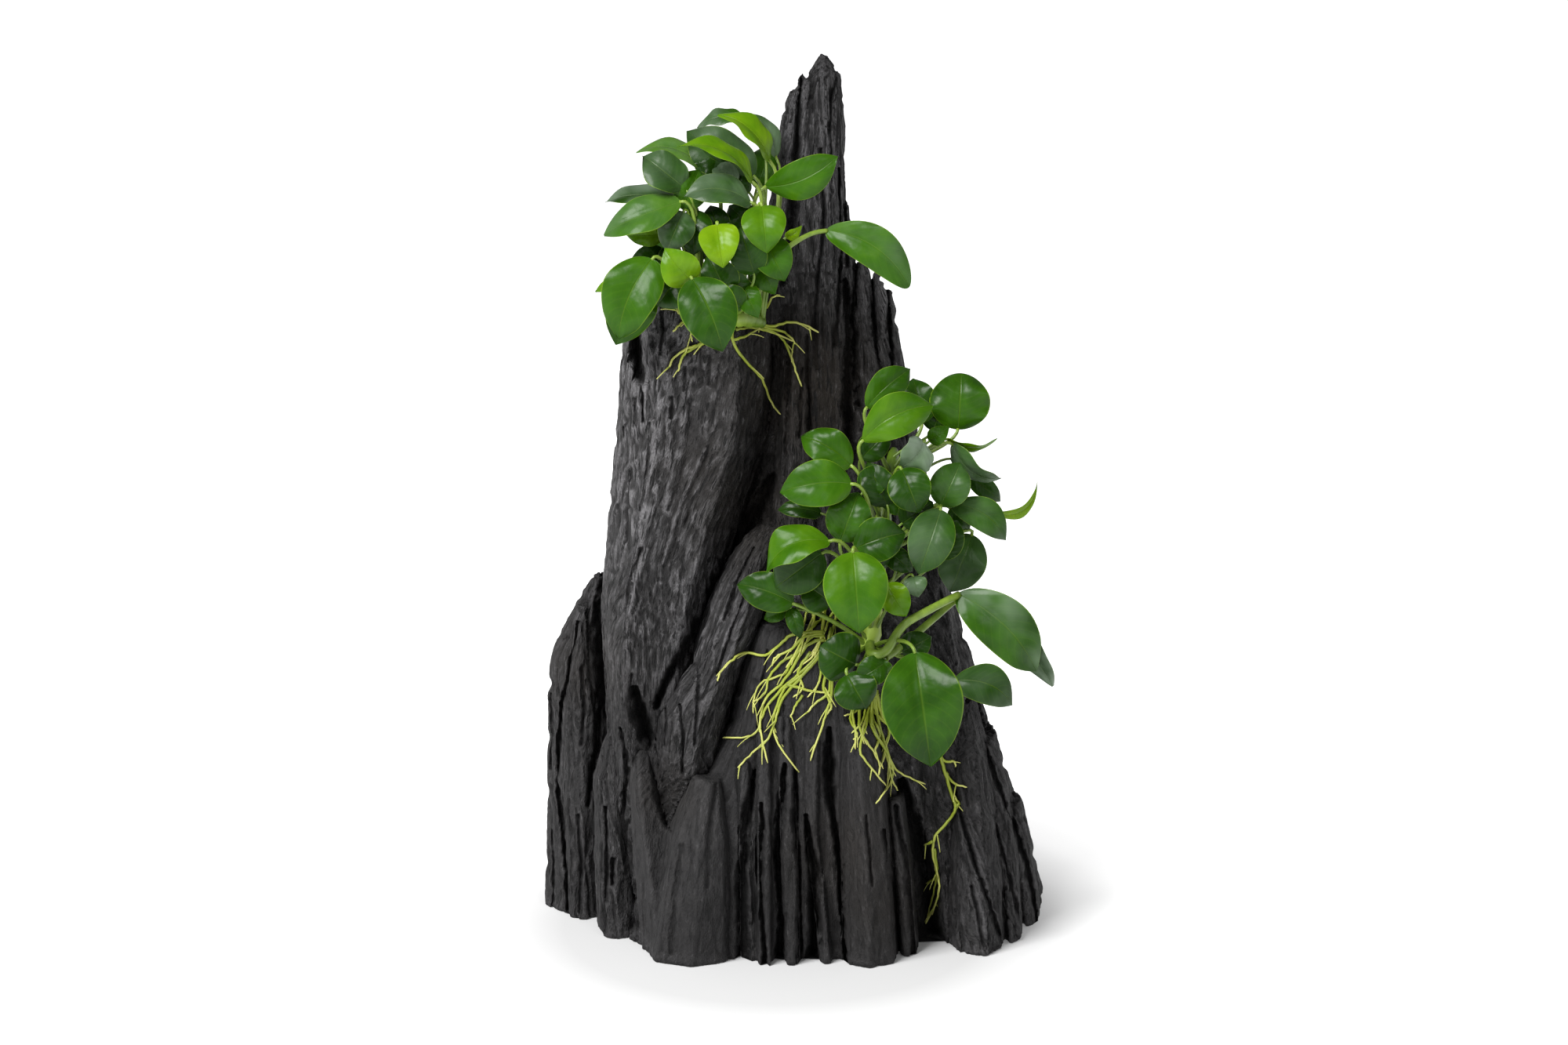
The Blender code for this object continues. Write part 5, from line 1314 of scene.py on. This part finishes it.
def wood_material():
    """Charcoal black along the fibres: painted highlights on ridges and painted shade in hollows, painted
    shade and light of single places, short ticks, flecks and brownish places.
    """
    made = bpy.data.materials.new("charcoal driftwood")
    shader, tree = shader_of(made)
    fibre = attribute(tree, "fibre", "Vector")
    relief = attribute(tree, "relief", "Fac")
    fineness = attribute(tree, "fineness", "Fac")
    streaks = noise(tree, fibre, 0.75, (1.0, 1.0, 0.16), 5.0)
    grit = noise(tree, fibre, 1.9, (1.0, 1.0, 0.40), 4.0)
    clouds = noise(tree, fibre, 0.035, (1.0, 1.0, 0.6), 2.0)
    height = TONE_OFFSET
    # The relief share brings in a painted highlight on ridges and painted shade in hollows
    for layer, share in zip((streaks, relief, grit, clouds), TONE_SHARES):
        height = plus(tree, times(tree, layer, share), height)
    height = minus(tree, height, USUAL_HEIGHT)
    height = times(tree, height, plus(tree, times(tree, fineness, 0.65), 0.35))
    height = plus(tree, height, USUAL_HEIGHT)
    # Painted shade and painted light of single places, taken off the tone
    height = minus(tree, height, times(tree, attribute(tree, "dark", "Fac"), 0.45))
    brown = times(tree, attribute(tree, "brown", "Fac"), 0.6)
    colour = mixed(tree, brown, ramp(tree, WOOD_TONES, height), WOOD_BROWN)
    ticks = above(tree, noise(tree, fibre, 0.80, (1.0, 0.6, 0.13), 2.5), 0.575, 14.0)
    flecks = above(tree, noise(tree, fibre, 1.1, (1.0, 0.7, 0.22), 3.0), 0.60, 9.0)
    flecks = times(tree, times(tree, flecks, relief), fineness)
    ticks = times(tree, ticks, fineness)
    colour = mixed(tree, times(tree, flecks, 0.4), colour, WOOD_FLECK)
    colour = mixed(tree, times(tree, ticks, 0.85), colour, WOOD_TICK)
    tree.links.new(colour, shader.inputs["Base Color"])
    shader.inputs["Roughness"].default_value = 0.72
    shader.inputs["Specular IOR Level"].default_value = 0.22
    bumps = plus(tree, times(tree, streaks, 0.7), times(tree, grit, 0.6))
    bumps = minus(tree, bumps, times(tree, ticks, 0.6))
    bump(tree, shader, times(tree, bumps, fineness), 1.0, 0.0019)
    return made


def leaf_material():
    """Glossy leaf: green by its tone, with a pale midrib and rim, faint veins and a painted grey sheen in
    clouds.
    """
    made = bpy.data.materials.new("glossy leaf")
    shader, tree = shader_of(made)
    parts = tree.nodes.new("ShaderNodeSeparateXYZ")
    tree.links.new(attribute(tree, "blade", "Vector"), parts.inputs["Vector"])
    along, across, tone = parts.outputs
    spread = maths(tree, "ABSOLUTE", across)
    place = tree.nodes.new("ShaderNodeTexCoord").outputs["Object"]
    mottle = noise(tree, place, 90.0, (1, 1, 1), 3.0)
    tone = plus(tree, tone, times(tree, minus(tree, mottle, 0.5), 0.36))
    tone = plus(tree, tone, times(tree, minus(tree, 0.5, along), 0.11))
    colour = ramp(tree, LEAF_TONES, tone)
    midrib = maths(tree, "SUBTRACT", 1.0, times(tree, spread, 22.0), clamp=True)
    margin = above(tree, spread, 0.955, 22.0)
    lines = plus(tree, along, times(tree, maths(tree, "POWER", spread, 1.4), -0.26))
    veins = above(tree, maths(tree, "SINE", times(tree, lines, 62.0)), 0.80, 4.0)
    paler = maths(tree, "MAXIMUM", times(tree, midrib, 0.14), times(tree, margin, 0.60))
    paler = maths(tree, "MAXIMUM", paler, times(tree, veins, 0.035))
    colour = mixed(tree, paler, colour, LEAF_RIM)
    # Painted sheen: grey clouds mixed into the colour in place of reflections
    cloud = above(tree, noise(tree, place, 60.0, (1, 1, 1), 2.0), 0.30, 2.6)
    grey = times(tree, attribute(tree, "grey", "Fac"), cloud)
    colour = mixed(tree, grey, colour, PAINTED_SHEEN_COLOUR)
    tree.links.new(colour, shader.inputs["Base Color"])
    gloss = plus(tree, 0.21, times(tree, mottle, 0.22))
    tree.links.new(gloss, shader.inputs["Roughness"])
    shader.inputs["Specular IOR Level"].default_value = 0.14
    ripples = maths(tree, "SINE", times(tree, lines, 42.0))
    height = plus(tree, times(tree, ripples, 0.07), times(tree, mottle, 1.6))
    height = minus(tree, height, times(tree, midrib, 0.6))
    bump(tree, shader, height, 0.5, 0.0007)
    return made


def stem_material(name, stops, roughness):
    """Satin stem or root, from its dark end to its pale end."""
    made = bpy.data.materials.new(name)
    shader, tree = shader_of(made)
    tone = attribute(tree, "tone", "Fac")
    place = tree.nodes.new("ShaderNodeTexCoord").outputs["Object"]
    mottle = noise(tree, place, 320.0, (1, 1, 0.5), 3.0)
    tone = maths(tree, "ADD", tone, times(tree, minus(tree, mottle, 0.5), 0.5), clamp=True)
    tree.links.new(ramp(tree, stops, tone), shader.inputs["Base Color"])
    shader.inputs["Roughness"].default_value = roughness
    bump(tree, shader, mottle, 0.3, 0.0004)
    return made


def matt_material(name, colour):
    """Plain matt material of one colour."""
    made = bpy.data.materials.new(name)
    shader, _ = shader_of(made)
    shader.inputs["Base Color"].default_value = (*colour, 1.0)
    shader.inputs["Roughness"].default_value = 0.9
    shader.inputs["Specular IOR Level"].default_value = 0.0
    return made


def build_stage():
    """Pale floor that glows, with a painted contact shadow beside the foot, and a white room with a dim
    ceiling.
    """
    data = bpy.data.meshes.new("floor")
    half = FLOOR_SIZE / 2
    corners = [(-half, -half, 0), (half, -half, 0), (half, half, 0), (-half, half, 0)]
    data.from_pydata(corners, [], [(0, 1, 2, 3)])
    floor = bpy.data.objects.new("floor", data)
    bpy.context.scene.collection.objects.link(floor)
    white = matt_material("white floor", (FLOOR_ALBEDO, FLOOR_ALBEDO, FLOOR_ALBEDO))
    shader, tree = shader_of(white)
    parts = tree.nodes.new("ShaderNodeSeparateXYZ")
    tree.links.new(tree.nodes.new("ShaderNodeTexCoord").outputs["Object"], parts.inputs["Vector"])
    ways = []
    for k in range(2):
        way = minus(tree, parts.outputs[k], FOOT_CENTRE[k])
        way = maths(tree, "DIVIDE", way, FOOT_REACH[k])
        ways.append(maths(tree, "POWER", maths(tree, "ABSOLUTE", way), 2.0))
    away = times(tree, maths(tree, "SQRT", plus(tree, ways[0], ways[1])), GLOW_SCALE)
    # Painted light and painted contact shadow: the floor's glow, dim beside the foot
    glow = ramp(tree, [(place, (level, level, level)) for place, level in FLOOR_GLOW_AND_PAINTED_SHADOW], away)
    tree.links.new(glow, shader.inputs["Emission Color"])
    shader.inputs["Emission Strength"].default_value = 1.0
    data.materials.append(white)
    floor.location.z = -FLOOR_GAP
    world = bpy.data.worlds.new("white room with a dim ceiling")
    bpy.context.scene.world = world
    world.use_nodes = True
    tree = world.node_tree
    direction = tree.nodes.new("ShaderNodeTexCoord").outputs["Generated"]
    parts = tree.nodes.new("ShaderNodeSeparateXYZ")
    tree.links.new(direction, parts.inputs["Vector"])
    shade = ramp(tree, WALL_TO_CEILING, parts.outputs["Z"])
    tree.links.new(shade, tree.nodes["Background"].inputs["Color"])
    tree.nodes["Background"].inputs["Strength"].default_value = 1.0


def add_light(name, place, aim, size, power):
    """Rectangular soft light at a place, turned to what it lights."""
    data = bpy.data.lights.new(name, "AREA")
    data.shape = "RECTANGLE"
    data.size, data.size_y = size
    data.energy = power
    light = bpy.data.objects.new(name, data)
    light.location = place
    light.rotation_mode = "QUATERNION"
    light.rotation_quaternion = (Vector(aim) - Vector(place)).to_track_quat("-Z", "Y")
    bpy.context.scene.collection.objects.link(light)


def build_lights_and_camera():
    """Key light from the upper left, a weak fill, and the camera of the front view."""
    for name, (place, size, power) in LIGHTS.items():
        add_light(name, place, LIGHT_AIM, (size, size), power)
    data = bpy.data.cameras.new("front")
    data.lens = LENS
    data.sensor_width = SENSOR_WIDTH
    camera = bpy.data.objects.new("front", data)
    camera.location = VIEW_EYE
    camera.rotation_euler = (math.pi / 2 - VIEW_RISE, 0.0, 0.0)
    bpy.context.scene.collection.objects.link(camera)
    bpy.context.scene.camera = camera
    bpy.context.scene.view_settings.view_transform = "Standard"


def settle(item, look, node_name=None):
    """Give a piece its look and its body, and hide the solid that it stands for."""
    item.data.materials.clear()
    item.data.materials.append(look)
    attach(item, "root")
    if node_name:
        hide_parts(node_name)


def build_plant(plant, rhizome, leaves, small_leaves, roots, trees, materials, collection):
    """One plant: its creeping stem with the stalks, its blades and its bundles of roots."""
    solid_tree, wood_tree = trees
    leaf_look, stem_look, root_look = materials
    draw = random.Random("stalks of " + plant)
    points, radii = rhizome_way(rhizome, solid_tree)
    way = smooth_way(points, 6)
    thick = [
        np.interp(k / (len(way) - 1), [n / (len(radii) - 1) for n in range(len(radii))], radii)
        * (1.0 + 0.10 * math.sin(k * 1.9)) for k in range(len(way))]
    tubes = [tube_parts(way, thick, 14, 1.25, 0.30)]
    for name, leaf in leaves.items():
        node_name = plant + "_leaf_" + name
        shift = blade_shift(leaf, node_name)
        data = blade_mesh(plant + "_" + name, leaf, shift)
        item = bpy.data.objects.new(plant + "_blade_" + name, data)
        collection.objects.link(item)
        settle(item, leaf_look, node_name)
        stalk = stalk_places(name, leaf, shift, points + way, draw)
        size = STALK_RADIUS * STALK_THICKNESS.get(name, 1.0)
        taper = [size * (1.35 - 0.45 * k / (len(stalk) - 1)) for k in range(len(stalk))]
        tubes.append(tube_parts(stalk, taper, 8, 0.55, 0.55 + 0.3 * leaf[LEAF_TONE]))
    for name, leaf in small_leaves.items():
        data = blade_mesh(plant + " small " + name, leaf, NO_SHIFT)
        item = bpy.data.objects.new(plant + "_small_blade_" + name, data)
        collection.objects.link(item)
        settle(item, leaf_look)
        stalk = stalk_places(name + " small", leaf, NO_SHIFT, points + way, draw)
        taper = [STALK_RADIUS * (0.95 - 0.3 * k / (len(stalk) - 1)) for k in range(len(stalk))]
        tubes.append(tube_parts(stalk, taper, 6, 0.5, 0.6))
    stems = joined_tubes(plant + "_stem_and_stalks", tubes, collection)
    settle(stems, stem_look, plant + "_rhizome")
    for node_name, chains in roots.items():
        item = joined_tubes(node_name + "_bundle", root_tubes(chains, wood_tree, node_name), collection)
        settle(item, root_look, node_name)


def main():
    """Stage, lights and camera, wood and both plants."""
    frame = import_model()
    collection = bpy.data.collections.new("anubias_on_driftwood")
    bpy.context.scene.collection.children.link(collection)
    build_stage()
    build_lights_and_camera()
    charcoal = wood_material()
    solid_tree = search_tree([frame["nodes"][name].data for name in WOOD])
    woods = {}
    for name in WOOD:
        woods[name] = shape_wood(name, frame["nodes"][name], collection)
        settle(woods[name], charcoal, name)
    wood_tree = search_tree([woods[name].data for name in FRONT_WOOD])
    materials = (
        leaf_material(), stem_material("green stem", STEM_TONES, 0.42),
        stem_material("yellow root", ROOT_TONES, 0.5))
    trees = (solid_tree, wood_tree)
    build_plant("upper", UPPER_RHIZOME, UPPER_LEAVES, UPPER_SMALL_LEAVES, {"upper_roots": UPPER_ROOTS},
                trees, materials, collection)
    build_plant("lower", LOWER_RHIZOME, LOWER_LEAVES, LOWER_SMALL_LEAVES, {
        "lower_left_roots": LOWER_LEFT_ROOTS, "lower_middle_roots": LOWER_MIDDLE_ROOTS,
        "lower_long_root": LOWER_LONG_ROOT}, trees, materials, collection)


main()
